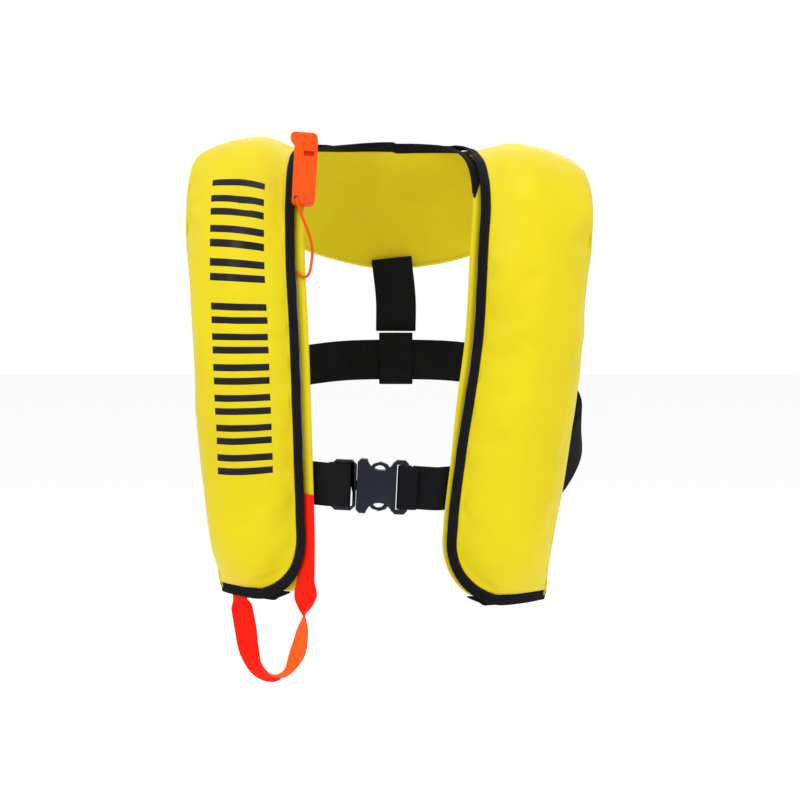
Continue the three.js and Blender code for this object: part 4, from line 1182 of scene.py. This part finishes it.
    def build(self) -> None:
        """Makes the cover and lets its cloth settle."""
        name = self.side.value
        points, uv = self.grid()
        faces = grid_faces(*points.shape[:2])
        piece = make_mesh(f"cover_{name}", points, faces, uv)
        normal = Vector(piece.data.polygons[len(faces) // 2].normal)
        if normal.y > 0:
            piece.data.flip_normals()
        self.drape(piece, len(points))
        refine(piece, 1, self.cloth)
        Paints.on(piece, PRINTED if self.side is Side.LEFT else YELLOW, "cover_cloth", body=None)
        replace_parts(piece, f"cover_flap_{name}", f"cover_shoulder_{name}")
        if self.side is Side.LEFT:
            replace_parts(piece, "cover_collar")
        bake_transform(piece)


@dataclass
class SideWall:
    """The narrow wall of cover cloth round the fold, from inside the cover's outer edge to the lining."""

    side: Side
    columns: int = 10
    thickness: float = 0.9
    tape_gap: float = 1.1

    def strip(self, label: str, rows: np.ndarray, grow: float) -> bpy.types.Object:
        """A length of the wall.

        Args:
            label: the start of its name.
            rows: lengths up the lobe.
            grow: how far outside the wall it lies.

        Returns:
            The piece, its faces outwards.
        """
        along = SHAPE.at(self.side, rows)
        width = SHAPE.frame(along)[4]
        fold, height = SHAPE.fold(along)
        turn = np.linspace(0, np.pi / 2, self.columns)
        reach = (width + 0.2 + grow + SHAPE.fullness(along) - fold)[:, None]
        s = fold[:, None] + reach * np.clip(np.cos(turn), 0, 1)[None] ** 0.7
        top = np.minimum(height + 3.5, SHAPE.closed - 1 + 0.45 * rows)
        n = 0.1 + top[:, None] * (1 - np.sin(turn)[None] ** 0.9)
        flat = np.broadcast_to(along[:, None], s.shape)
        ripple = 0.5 * np.sin(flat / 9.1) * np.sin(flat / 31 + 1) * np.sin(turn * 2)[None]
        points = SHAPE.place(flat.ravel(), (s + ripple).ravel(), n.ravel()).reshape(*s.shape, 3)
        uv = np.stack([np.broadcast_to(rows[:, None], s.shape), n], -1) * MM
        piece = make_mesh(f"{label}_{self.side.value}", points, grid_faces(*s.shape), uv)
        row, column = len(rows) // 4, self.columns // 2
        away = points[row, column] - SHAPE.place(along, fold / 2, height / 2)[row]
        face = piece.data.polygons[row * (self.columns - 1) + column]
        if face.normal.dot(Vector(away)) < 0:
            piece.data.flip_normals()
        return refine(piece, 1, self.thickness)

    def build(self) -> None:
        """Makes the wall and the tape across its bottom end."""
        half = SHAPE.total / 2
        rows = np.concatenate([np.arange(0.6, 24, 3.0), np.arange(25, half, 5.0), [half - 0.2]])
        piece = self.strip("side_wall", rows, 0)
        Paints.on(piece, YELLOW, "cover_cloth")
        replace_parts(piece, f"cover_side_{self.side.value}")
        tape = self.strip("side_tape", np.linspace(0, SHAPE.binding, 5), self.tape_gap)
        Paints.on(tape, TAPE, "binding_tape")
        if self.side is Side.LEFT:
            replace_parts(piece, "cover_side_collar")


@dataclass
class Binding:
    """Black tape folded over the cover's edge: down the neck side, round the corner and along the bottom."""

    side: Side
    seam: float = 0.78
    # Share of the tape's width, and height above the closed rim, in turn round its section.
    section: tuple = ((-0.02, -0.5), (-0.05, 0.1), (0.02, 0.75), (0.16, 1.15), (0.38, 1.25), (0.62, 1.25),
                      (0.86, 1.12), (0.99, 0.8), (1.0, 0.2), (0.9, -1.3), (0.5, -1.4), (0.1, -1.3))

    def edge(self) -> tuple[np.ndarray, np.ndarray]:
        """The tape's two edges, from the seam behind the neck to the fold at the lobe's bottom.

        Returns:
            Outer and inner edge, each as length up the lobe and s across.
        """
        inset, corner = SHAPE.binding, SHAPE.corner
        down = np.arange(SHAPE.total / 2 - 0.3, corner + 2, -3.0)
        turn = np.linspace(0, np.pi / 2, 20)
        inner = corner - inset
        fold = SHAPE.frame(SHAPE.at(self.side, np.array([0.0])))[4][0] + 2.6
        run = np.linspace(corner, fold, 22)[1:]
        outside = np.vstack([np.stack([down, 0 * down], -1),
                             np.stack([corner - corner * np.sin(turn), corner - corner * np.cos(turn)], -1),
                             np.stack([0 * run, run], -1)])
        inside = np.vstack([np.stack([down, 0 * down + inset], -1),
                            np.stack([corner - inner * np.sin(turn), corner - inner * np.cos(turn)], -1),
                            np.stack([0 * run + inset, run], -1)])
        return outside, inside

    def build(self) -> None:
        """Makes the tape and a row of stitches along it."""
        outside, inside = self.edge()
        u, n = np.array(self.section).T
        pair = outside[:, None] + (inside - outside)[:, None] * u[None, :, None]
        length = np.concatenate([[0], np.cumsum(np.linalg.norm(np.diff(outside, axis=0), axis=1))])
        wave = 0.35 * np.sin(length / 5.3) * np.sin(length / 23)
        height = SHAPE.closed + n[None] + wave[:, None]
        along = SHAPE.at(self.side, np.maximum(pair[..., 0], 0))
        points = SHAPE.place(along.ravel(), pair[..., 1].ravel(), height.ravel()).reshape(*pair.shape[:2], 3)
        ways = (length[:, None], u[None] * SHAPE.binding)
        uv = np.stack([np.broadcast_to(way, height.shape) for way in ways], -1) * MM
        name = self.side.value
        tape = tube_of(f"binding_{name}", points, uv)
        refine(tape, 1)
        Paints.on(tape, TAPE, "binding_tape", body=None)
        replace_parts(tape, f"binding_flap_{name}")
        if self.side is Side.LEFT:
            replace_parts(tape, "binding_collar")
        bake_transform(tape)
        place = outside + (inside - outside) * self.seam
        lengths = SHAPE.at(self.side, np.maximum(place[:, 0], 0))
        line = SHAPE.place(lengths, place[:, 1], SHAPE.closed + 1.2 + wave)
        row = stitches(f"binding_stitches_{name}", line, SHAPE.frame(lengths)[2], radius=0.22)
        Paints.on(row, THREAD, "binding_tape", body=None)
        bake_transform(row)


@dataclass
class Lining:
    """Everything against the wearer: the lining, its tapes and the belt's tunnels."""

    thickness: float = 1.1
    flat_width: float = 115
    under_neck_tape: float = 4.0

    def sheet_between(self, name: str, rows: np.ndarray, start: np.ndarray, end: np.ndarray, n: float,
                      wall: float, columns: int = 12) -> bpy.types.Object:
        """A band of cloth between two edges.

        Args:
            name: the piece's name.
            rows: lengths along the horseshoe.
            start: s of one edge at each.
            end: s of the other.
            n: height above the lining's back.
            wall: the cloth's thickness.
            columns: points across it.

        Returns:
            The piece, its faces outwards.
        """
        f = np.linspace(0, 1, columns)
        s = start[:, None] + (end - start)[:, None] * f[None]
        along = np.broadcast_to(rows[:, None], s.shape)
        points = SHAPE.place(along.ravel(), s.ravel(), np.full(s.size, float(n))).reshape(*s.shape, 3)
        uv = np.stack([along, s], -1) * MM
        piece = make_mesh(name, points, grid_faces(*s.shape), uv)
        out = SHAPE.frame(rows[:1])[2][0]
        if piece.data.polygons[0].normal.dot(Vector(out)) < 0:
            piece.data.flip_normals()
        return refine(piece, 1, wall)

    def build(self) -> None:
        """Makes the lining, the neck tape and the bottom tapes."""
        low, high = SHAPE.binding + 0.5, SHAPE.total - SHAPE.binding - 0.5
        near = low + np.array([0, 1.5, 3.5, 6, 9, 13, 18, 24, 31])
        rows = np.concatenate([near, np.arange(45, SHAPE.total - 45, 6.0), (SHAPE.total - near)[::-1]])
        start = SHAPE.lining_start(rows)
        start = start + np.where(SHAPE.low(rows) > SHAPE.shoulder, self.under_neck_tape, 0)
        body = self.sheet_between("lining", rows, start, SHAPE.fold(rows)[0] + 1.5, 1.2, self.thickness)
        Paints.on(body, LINING, "lining_cloth")
        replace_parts(body, "lining_left", "lining_right", "lining_collar")
        rows = np.arange(SHAPE.shoulder - 20, SHAPE.total - SHAPE.shoulder + 20, 5.0)
        start = SHAPE.lining_start(rows)
        taper = smoothstep((SHAPE.low(rows) - (SHAPE.shoulder - 22)) / 30)
        neck = self.sheet_between("binding_neck", rows, start, start + 1 + 8 * taper, 1.6, 2.0, 4)
        Paints.on(neck, TAPE, "binding_tape")
        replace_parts(neck, "binding_neck")
        for side in Side:
            rows = SHAPE.at(side, np.linspace(0, SHAPE.binding, 5))
            corner = np.maximum(SHAPE.corner_start(np.maximum(SHAPE.low(rows), 2), 0) - SHAPE.front_margin, 0)
            name = f"binding_lining_{side.value}"
            tape = self.sheet_between(name, rows, corner, SHAPE.fold(rows)[0] + 1, 1.35, 1.6, 16)
            Paints.on(tape, TAPE, "binding_tape")
            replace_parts(tape, name)
            Paints.on(moulded(f"belt_tunnel_{side.value}", 0.3), LINING, "lining_cloth")


# ---------------------------------------------------------------- inside the lobes
@dataclass
class Bladder:
    """A length of the air bladder as it lies folded under the cover, with a channel for what lies on it.

    The channel is where it starts and ends up the lobe, its two sides, and the length from the lobe's bottom
    that is bare from the neck edge to the channel's far side.
    """

    name: str
    low: float
    high: float
    channel: tuple[float, float, float, float, float]
    columns: int = 46
    base: float = 2.8
    floor: float = 5.6
    clearance: float = 5.2
    flatter_shoulder: float = 9.5
    flatter_collar: float = 1.5

    def build(self) -> None:
        """Makes the padded piece: its top stays under the cover, with two soft folds running along it."""
        along = np.arange(self.low, self.high + 0.1, 4.0)
        f = np.linspace(0, 1, self.columns)
        fold, height = SHAPE.fold(along)
        first = SHAPE.rim + 3.5
        s = first + (fold[:, None] - 4.5 - first) * f[None]
        d = np.broadcast_to(SHAPE.low(along)[:, None], s.shape)
        half = fold[:, None] / 2
        shoulder = SHAPE.shoulder_share(along)
        collar = SHAPE.low(along) > SHAPE.shoulder
        flatter = self.flatter_shoulder * shoulder + self.flatter_collar * collar
        top = (SHAPE.thickness(along) - flatter)[:, None]
        rise = np.clip((s - SHAPE.rim) / (half - SHAPE.rim), 0, 1)
        fall = np.cos(np.pi / 2 * np.clip((s - half) / half, 0, 1)) ** 0.5
        n = np.where(s < half, SHAPE.closed + (top - SHAPE.closed) * np.sin(np.pi / 2 * rise) ** 0.8,
                     height[:, None] + (np.maximum(top, height[:, None]) - height[:, None]) * fall)
        n = n - self.clearance
        for depth, place, reach in ((1.6, 0.8, 3.5), (1.2, 1.4, 3.0)):
            n = n - depth * (1 - np.minimum(1, np.abs(s - half * place) / reach))
        n = n + 0.5 * np.sin(d / 11 + s / 17) * np.sin(d / 29)
        start, end, left, right, bare = self.channel
        inside = (d > start) & (d < end) & (s > left) & (s < right)
        inside |= (d < bare) & (s < right)
        n = np.where(inside, self.floor, n)
        n = np.maximum(n, self.base + 1.2)
        ends = np.minimum(1, np.minimum(f, 1 - f) * 14)[None]
        count = np.arange(len(along))
        tips = np.minimum(1, np.minimum(count, count[::-1]) / 3)[:, None]
        n = self.base + 0.6 + (n - self.base - 0.6) * np.sqrt(np.clip(ends * tips, 0.02, 1))
        flat = np.broadcast_to(along[:, None], s.shape)
        upper = SHAPE.place(flat.ravel(), s.ravel(), n.ravel()).reshape(*s.shape, 3)
        lower = SHAPE.place(flat.ravel(), s.ravel(), np.full(s.size, self.base)).reshape(*s.shape, 3)
        sections = np.concatenate([upper, lower[:, ::-1]], axis=1)
        across = np.concatenate([s, s[:, ::-1]], axis=1)
        uv = np.stack([np.broadcast_to(along[:, None], across.shape), across], -1) * MM
        piece = tube_of(self.name, sections, uv)
        Paints.on(piece, BLADDER, "bladder_cloth")
        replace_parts(piece, self.name)


@dataclass
class Fittings:
    """The inflator on the left lobe and the oral tube on the right, and the tapes and patches beside them."""

    base: float = 8.4
    inflator_up: float = 88
    inflator_across: float = 56
    tube_up: float = 70
    tube_across: float = 52

    @staticmethod
    def shifted(placing: np.ndarray, x: float, y: float, z: float) -> np.ndarray:
        """Moves a placing along its own axes.

        Args:
            placing: 4 by 4 matrix in millimetres.
            x: millimetres along its X axis.
            y: along its Y axis.
            z: along its Z axis.

        Returns:
            The new placing.
        """
        move = np.eye(4)
        move[:3, 3] = (x, y, z)
        return placing @ move

    @staticmethod
    def knurled(piece: bpy.types.Object, placing: np.ndarray, radius: float, teeth: int,
                depth: float) -> None:
        """Presses grip flutes into the side of a turned piece.

        Args:
            piece: the piece, turned with four facets to each tooth.
            placing: its axes, in millimetres.
            radius: of its side.
            teeth: round it.
            depth: of a flute.
        """
        count = len(piece.data.vertices)
        points = np.empty(count * 3)
        piece.data.vertices.foreach_get("co", points)
        points = points.reshape(-1, 3) / MM
        own = (points - placing[:3, 3]) @ placing[:3, :3]
        r = np.hypot(own[:, 0], own[:, 1])
        turn = np.arctan2(own[:, 1], own[:, 0])
        pressed = (r > radius - 0.6) * depth * (0.5 + 0.5 * np.cos(turn * teeth))
        own[:, :2] *= ((r - pressed) / np.maximum(r, 1e-6))[:, None]
        piece.data.vertices.foreach_set("co", ((own @ placing[:3, :3].T + placing[:3, 3]) * MM).ravel())
        piece.data.update()

    def inflator(self) -> None:
        """Makes the inflator's flange, body, lever, cap, window and gas cylinder."""
        at = SHAPE.fitting(Side.LEFT, self.inflator_up, self.inflator_across)
        for node, bevel, finish, slot, body in (
            ("inflator_flange", 0.3, ORANGE, "whistle_plastic", VEST),
            ("inflator_body", 1.6, BLACK, "black_plastic", VEST),
            ("inflator_lever", 0.6, RED, "red_plastic", "inflator_lever"),
        ):
            Paints.on(moulded(node, bevel), finish, slot, body)
        pin = turned("lever_pin", [(0, 0), (1.7, 0), (1.7, 4), (0, 4)],
                     self.shifted(at, -21, self.base + 0.1, 4) @ TO_Y, 24, 0.3)
        Paints.on(pin, STEEL, "cylinder_steel")
        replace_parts(pin, "lever_pin")
        window = turned("status_indicator", [(0, 0), (4, 0), (4, 0.8), (3, 1.4), (0, 1.4)],
                        self.shifted(at, 3, self.base + 20.3, 9) @ TO_Y, 32, 0.2)
        Paints.on(window, GREEN, "green_plastic")
        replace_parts(window, "status_indicator")
        place = self.shifted(at, 0, self.base + 10.8, -40.4)
        radius, teeth = 10.5, 24
        outline = [(0, 0), (8.5, 0), (radius, 2), (radius, 17), (0, 17)]
        cap = turned("inflator_cap", outline, place, 4 * teeth, 0.5)
        self.knurled(cap, place, radius, teeth, 0.7)
        Paints.on(cap, GREEN, "green_plastic", "inflator_cap")
        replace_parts(cap, "inflator_cap")
        half_length = 56
        middle = SHAPE.fitting(Side.LEFT, self.inflator_up + 24.5 + half_length, self.inflator_across - 2)
        outline = [(0, 0), (6, 0), (6, 5), (6.6, 6.2), (9.8, 9.4), (12.1, 12.6), (12.5, 15.5), (12.5, 98),
                   (12.2, 102), (10.9, 106.2), (8.3, 109.8), (4.5, 111.8), (0, 2 * half_length)]
        place = self.shifted(middle, 0, self.base + 12.8, -half_length)
        bottle = turned("gas_cylinder", outline, place, 64, 0.3)
        Paints.on(bottle, STEEL, "cylinder_steel", "gas_cylinder")
        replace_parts(bottle, "gas_cylinder")

    def oral_tube(self) -> None:
        """Makes the oral tube, its foot, valve head, plunger and cap."""
        length, rib, valve = 96, 3, 101.8
        halfway = SHAPE.fitting(Side.RIGHT, self.tube_up + length / 2, self.tube_across)
        at = self.shifted(halfway, 0, 0, -length / 2)
        middle = self.base + 5.8
        Paints.on(moulded("tube_elbow", 0.5), BLACK, "black_plastic")
        ribs = [(5.15 if i % 2 else 5.5, i * rib) for i in range(length // rib + 1)]
        for name, shape, z, finish, slot, body in (
            ("oral_tube", [(0, 0), *ribs, (0, length)], 5.4, BLACK, "black_plastic", VEST),
            ("valve_head", [(0, 0), (6, 0), (8, 3), (8, 18), (3.6, 18), (3.6, 3), (0, 3)], valve, BLACK,
             "black_plastic", VEST),
            ("valve_plunger", [(0, 8), (2.9, 8), (2.9, 16.4), (0, 16.4)], valve, ORANGE, "whistle_plastic",
             "valve_plunger"),
            ("valve_cap", [(0, 0), (8, 0), (8, 2.4), (6.5, 3.6), (0, 3.6)], 120.2, BLACK, "black_plastic",
             "valve_cap"),
        ):
            piece = turned(name, shape, self.shifted(at, 0, middle, z), 48, 0.25)
            Paints.on(piece, finish, slot, body)
            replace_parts(piece, name)

    def tapes(self) -> None:
        """Makes the closure tapes and the reflective patches."""
        for side in Side:
            Paints.on(moulded(f"loop_tape_{side.value}", 0), CLOSURE, "closure_tape")
            hook = Paints.on(moulded(f"hook_tape_{side.value}", 0), CLOSURE, "closure_tape", None)
            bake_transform(hook)
            Paints.on(moulded(f"reflective_patch_{side.value}", 0), SILVER, "reflective_film")

    def build(self) -> None:
        """Makes the bladder's three lengths and the fittings on it."""
        end = SHAPE.total - SHAPE.shoulder
        left = (0, 240, 34, 74, 128)
        right = (55, 220, 31, 71, 0)
        Bladder("bladder_left", 36, SHAPE.shoulder - 2, left).build()
        Bladder("bladder_collar", SHAPE.shoulder + 2, end - 2, (0, 0, 0, 0, 0)).build()
        Bladder("bladder_right", end + 2, SHAPE.total - 36, right).build()
        self.inflator()
        self.oral_tube()
        self.tapes()


# ---------------------------------------------------------------- webbing
@dataclass
class Belt:
    """The waist belt, its buckle, and the strap behind the wearer.

    The belt goes round a wearer twice as wide as reach and as deep as depth, and rises to the back. The
    buckle's slots are lengths from its middle, and bar is half the thickness of its bars.
    """

    up: float = 105
    width: float = 38
    thickness: float = 1.8
    rise: float = 97
    reach: float = 168
    depth: float = 230
    behind: float = -4.8
    shift: float = -7.7
    tilt: float = -0.048
    bar: float = 3.3
    slot_left: float = -17
    slot_right: float = 25.7
    release: float = 24
    back_height: float = 0.97

    def __post_init__(self) -> None:
        """Works out where the belt leaves the lobes and the buckle's axes."""
        left, right = (self.behind_lobe(side, [0.0])[0] for side in Side)
        self.left, self.right = left, right
        self.z = (left[2] + right[2]) / 2
        self.buckle_x = (left[0] + right[0]) / 2 + self.shift
        c, s = math.cos(-self.tilt), math.sin(-self.tilt)
        self.turn = np.array([[c, 0, s], [0, 1, 0], [-s, 0, c]])
        self.origin = np.array([self.buckle_x, left[1] - 3.4, self.z])

    def on_buckle(self, pairs: list[tuple[float, float]]) -> np.ndarray:
        """Points given along and out of the buckle's middle plane."""
        return np.array([[x, y, 0.0] for x, y in pairs]) @ self.turn.T + self.origin

    def behind_lobe(self, side: Side, shares: list[float]) -> np.ndarray:
        """Points behind a lobe's lining, at shares of its width."""
        along = np.full(len(shares), SHAPE.at(side, np.array([self.up]))[0])
        return SHAPE.place(along, np.array(shares) * SHAPE.frame(along)[4], np.full(len(shares), self.behind))

    def round_body(self, sign: float, points: list[tuple[float, float, float]]) -> np.ndarray:
        """Points round the wearer: shares of the reach, of half the depth, and of the rise."""
        return np.array([[sign * x * self.reach, y * self.depth / 2, self.z + up * self.rise]
                         for x, y, up in points])

    def web(self, name: str, node: str, line: np.ndarray, ways: np.ndarray = UP, width: float | None = None,
            body: str = VEST) -> bpy.types.Object:
        """One length of webbing. A second ring close to each end keeps the ends square when it is refined.

        Args:
            name: the piece's name.
            node: the CAD node it stands for.
            line: its centre line in millimetres, (n, 3).
            ways: direction of its width, one for all or one for each point.
            width: across it, or None for the belt's.
            body: the body it rides on.

        Returns:
            The piece.
        """
        ways = np.broadcast_to(ways, line.shape)
        rows, close = np.arange(len(line)), 0.03
        held = np.sort(np.append(rows, [close, len(line) - 1 - close]))
        line, ways = (np.stack([np.interp(held, rows, column) for column in values.T], axis=1)
                      for values in (line, ways))
        piece = ribbon(name, line, ways, width or self.width, self.thickness)
        refine(piece, 1)
        Paints.on(piece, BLACK_WEB, "black_webbing", body)
        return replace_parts(piece, node)

    def build(self) -> None:
        """Makes the belt's lengths, the back strap and its keeper, and the buckle."""
        up = self.turn @ UP
        rest = self.bar + 0.7 + self.thickness / 2
        self.round_lengths(rest, up)
        self.buckle_loop(rest, up)
        self.back_strap()
        for node, bevel, body in (("buckle_male", 0.9, VEST), ("buckle_socket", 1.9, "buckle_socket"),
                                  ("buckle_prong_upper", 0.55, "prong_upper"),
                                  ("buckle_prong_lower", 0.55, "prong_lower")):
            Paints.on(moulded(node, bevel), BUCKLE, "buckle_plastic", body)

    def round_lengths(self, rest: float, up: np.ndarray) -> None:
        """Makes the belt's left, back and right lengths, cut from one line at the wearer's sides. The left
        one goes on through the buckle's ladder and back.

        Args:
            rest: how far from the buckle's plane the webbing lies.
            up: direction across the webbing at the buckle.
        """
        side = [(1, -0.02, 0.4)]
        back = [(0.94, 0.36, 0.66), (0.72, 0.7, 0.87), (0.37, 0.91, 0.98), (0, self.back_height, 1)]
        left = self.behind_lobe(Side.LEFT, [0.02, 0.25, 0.5, 0.75, 0.97])
        right = self.behind_lobe(Side.RIGHT, [0.97, 0.8, 0.6, 0.4, 0.2])
        whole = np.vstack([left, self.round_body(-1, side + back),
                           self.round_body(1, back[:-1][::-1] + side), right])
        last, cut = len(whole) - 1, len(left)
        slot, bar, lead = self.slot_left, self.slot_left - 5, self.left[0] - self.buckle_x + 12
        ladder = self.on_buckle([
            (lead, -3), (mix_of(lead, bar, 0.37), -rest), (bar, -rest), (slot - 1.6, -rest + 0.7),
            (slot, -2.2), (slot, 2.2), (slot - 1.6, rest - 0.7), (bar, rest), (mix_of(lead, bar, 0.5), rest),
            (mix_of(lead, bar, 0.17), rest - 0.4)])
        hidden = catmull_rom(whole, np.linspace(cut, 0, 60) / last)
        seen = catmull_rom(ladder, np.linspace(0, 1, 73))
        ways = np.vstack([np.tile(UP, (len(hidden), 1)), np.tile(up, (len(seen), 1))])
        self.web("belt_left", "belt_left", np.vstack([hidden, seen]), ways)
        self.web("belt_back", "belt_back", catmull_rom(whole, np.linspace(cut, last - cut, 140) / last))
        self.web("belt_right", "belt_right", catmull_rom(whole, np.linspace(last, last - cut, 60) / last))

    def buckle_loop(self, rest: float, up: np.ndarray) -> None:
        """Makes the length from the right lobe through the socket's bar. It is cut at the socket, and
        the loop rides on the socket.

        Args:
            rest: how far from the buckle's plane the webbing lies.
            up: direction across the webbing at the buckle.
        """
        slot, count = self.slot_right, 110
        start = self.behind_lobe(Side.RIGHT, [0.18, 0.1, 0.02])
        loop = self.on_buckle([
            (self.right[0] - self.buckle_x - 7, 2.2), (44, rest - 1.6), (36, rest), (slot + 2.3, rest),
            (slot + 0.9, rest - 0.7), (slot - 0.6, 2.2), (slot - 0.6, -2.2), (slot + 0.9, -rest + 0.7),
            (slot + 2.3, -rest), (32, -rest), (37, -rest + 0.6), (41, -2.6)])
        route = np.vstack([start, loop])
        line = catmull_rom(route, np.linspace(0, 1, count))
        ways = UP + (up - UP) * smoothstep(np.linspace(0, 5, count))[:, None]
        cut = int(round((count - 1) * 5 / (len(route) - 1)))
        front = self.web("belt_front_right", "belt_front_right", line[:cut], ways[:cut])
        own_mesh(front)
        self.web("belt_buckle_loop", "belt_front_right", line[cut:], ways[cut:], body="buckle_socket")

    def back_strap(self) -> None:
        """Makes the strap from the collar down to the belt, and the keeper at its end."""
        half, across = self.width / 2, np.array([1.0, 0, 0])
        belt = self.round_body(1, [(0, self.back_height, 1)])[0]
        along = np.array([SHAPE.total / 2])
        collar = SHAPE.place(along, SHAPE.frame(along)[4] - 14, np.array([self.behind]))[0]
        skin = self.thickness + 1
        halfway = [0, mix_of(collar[1], belt[1], 0.6), mix_of(collar[2], belt[2] + half, 0.5)]
        down = np.array([collar, halfway, [0, belt[1] + skin, belt[2] + half + 8]])
        self.web("back_strap", "back_strap", catmull_rom(down, np.linspace(0, 1, 30)), across)
        rounds = [(skin, half + 6.5), (skin, 0), (skin, -half), (skin * 0.6, -half - 3.2),
                  (-skin * 0.6, -half - 3.2), (-skin, -half), (-skin, 0), (-skin, half + 6.5)]
        points = np.array([[0, belt[1] + y, belt[2] + z] for y, z in rounds])
        line = catmull_rom(points, np.linspace(0, 1, 60))
        self.web("back_keeper", "back_keeper", line, across, self.width - 6)


@dataclass
class PullStrap:
    """The red strap that fires the inflator.

    It comes out at the lobe's outer corner, hangs in a loop, and goes back up inside the lobe's neck side.
    """

    width: float = 20
    thickness: float = 1.6
    hang: float = 68
    between: float = 2.6
    outer: float = 77
    inner: float = 4

    def at(self, d: float, s: float) -> np.ndarray:
        """A point between the lining and the closed cover, or straight below them.

        Args:
            d: length up the lobe, negative below it.
            s: across it.

        Returns:
            The point.
        """
        forward = SHAPE.frame(np.array([0.0]))[3][0]
        inside = SHAPE.place(np.array([max(d, 0.0)]), np.array([float(s)]), np.array([self.between]))[0]
        return inside + forward * min(d, 0.0)

    def build(self) -> None:
        """Makes the strap from a route of centre points, each with the direction across the strap."""
        outside, inside = self.at(0, self.outer), self.at(0, self.inner)

        def plane(d: float, s: float) -> np.ndarray:
            """Across the strap where it lies in the lobe."""
            return unit(self.at(max(d, 0), s - 8) - self.at(max(d, 0), s + 8))

        def hanging(share: float, x: float, y: float, drop: float) -> np.ndarray:
            """A point of the loop: a share of the way from its outer leg to its inner, moved and dropped."""
            return outside + (inside - outside) * share + np.array([x, y, -drop * self.hang])

        into_lobe = [(self.at(d, self.outer), plane(max(d, 0), self.outer)) for d in (24, 10, -3)]
        loop = [(hanging(*place), way) for *place, way in (
            (0, 1.5, -1, 0.17, (0.96, -0.24, 0.1)), (0.03, 3, -2, 0.42, (0.96, -0.1, 0.25)),
            (0.12, 1, -4, 0.68, (0.85, -0.3, 0.45)), (0.29, -1, -7, 0.9, (0.5, -0.75, 0.55)),
            (0.5, 0, -9, 0.97, (0.15, -0.88, 0.45)), (0.7, 1, -8, 0.87, (0.3, -0.93, -0.05)),
            (0.88, 1, -5, 0.6, (0.62, -0.75, -0.25)), (0.96, 0, -3, 0.36, (0.5, -0.85, -0.1)),
            (0.99, 0, -1, 0.17, (0.12, -1, 0)), (1, 0.5, -0.5, 0.0, (-0.7, -0.7, 0)))]
        turned_over = [(self.at(d, s), -plane(d, s)) for d, s in ((36, 1.8), (54, 1.2), (78, 1), (96, 1))]
        route = [*into_lobe, *loop, (self.at(11, 3), (-0.98, 0.15, 0)), (self.at(22, 2.4), -plane(22, 5)),
                 *turned_over]
        share = np.linspace(0, 1, 240)
        line = catmull_rom(np.array([p for p, _ in route]), share)
        ways = catmull_rom(unit(np.array([w for _, w in route], float)), share)
        piece = ribbon("pull_strap", line, ways, self.width, self.thickness)
        refine(piece, 1)
        Paints.on(piece, RED_WEB, "red_webbing", "pull_strap")
        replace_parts(piece, "pull_strap")


# ---------------------------------------------------------------- whistle and lanyard
@dataclass
class Whistle:
    """The flat whistle beside the left lobe's neck edge and the cord that ties it there."""

    foot_up: float = 344
    width: float = 20
    depth: float = 9
    cord: float = 2.4

    def __post_init__(self) -> None:
        """Works out the whistle's foot and axes: it leans back and turns a little to the neck."""
        along = np.array([float(self.foot_up)])
        self.foot = SHAPE.place(along, np.array([-self.width / 2 - 1.2]), np.array([self.depth / 2 + 4]))[0]
        up, across = unit(np.array([0.04, 0.34, 0.94])), np.array([1, 0.12, 0])
        across = unit(across - up * (across @ up))
        self.axes = np.stack([across, np.cross(up, across), up], 1)

    def point(self, x: float, y: float, z: float) -> np.ndarray:
        """A point in the whistle's own axes."""
        return self.foot + self.axes @ np.array([x, y, z])

    def lanyard(self) -> None:
        """Makes the cord: from the whistle's eye down over the lining's margin and back under the binding."""
        tie = self.point(-self.width / 2 + 3.3, -self.depth / 2 - self.cord / 2 - 0.8, 4.6)
        end, between = self.foot_up - 55, 2.7
        margin = [SHAPE.place(np.array([end + up]), np.array([float(s)]), np.array([between + n]))[0]
                  for up, s, n in ((-2, -13, 1.4), (-4, -6, 0.5), (0, 0.6, 0))]
        route = np.array([tie, tie + (4.6, -3, -15), tie + (10.6, -5, -30), tie + (14, -7, -45), *margin])
        count, facets = 40, 14
        line = catmull_rom(route, np.linspace(0, 1, count))
        ahead = unit(np.gradient(line, axis=0))
        side = unit(np.cross(ahead, [0, 1.0, 0.1]))
        other = np.cross(side, ahead)
        turn = np.linspace(0, 2 * np.pi, facets, endpoint=False)
        ring = side[:, None] * np.cos(turn)[None, :, None] + other[:, None] * np.sin(turn)[None, :, None]
        length = np.concatenate([[0], np.cumsum(np.linalg.norm(np.diff(line, axis=0), axis=1))])
        ways = (length[:, None], turn[None] * self.cord / 2)
        uv = np.stack([np.broadcast_to(way, (count, facets)) for way in ways], -1) * MM
        piece = tube_of("whistle_lanyard", line[:, None] + ring * self.cord / 2, uv)
        Paints.on(piece, CORD, "lanyard_cord", body=None)
        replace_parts(piece, "whistle_lanyard")
        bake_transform(piece)

    def build(self) -> None:
        """Makes the whistle."""
        Paints.on(moulded("whistle", 1.1), ORANGE, "whistle_plastic", "whistle")


def main() -> None:
    """Builds the stage and every piece."""
    logging.basicConfig(level=logging.INFO, format="%(name)s: %(message)s")
    Stage().build()
    whistle = Whistle()
    whistle.lanyard()
    whistle.build()
    for side in Side:
        Cover(side).build()
        SideWall(side).build()
        Binding(side).build()
    Lining().build()
    Fittings().build()
    Belt().build()
    PullStrap().build()


if __name__ == "__main__":
    main()
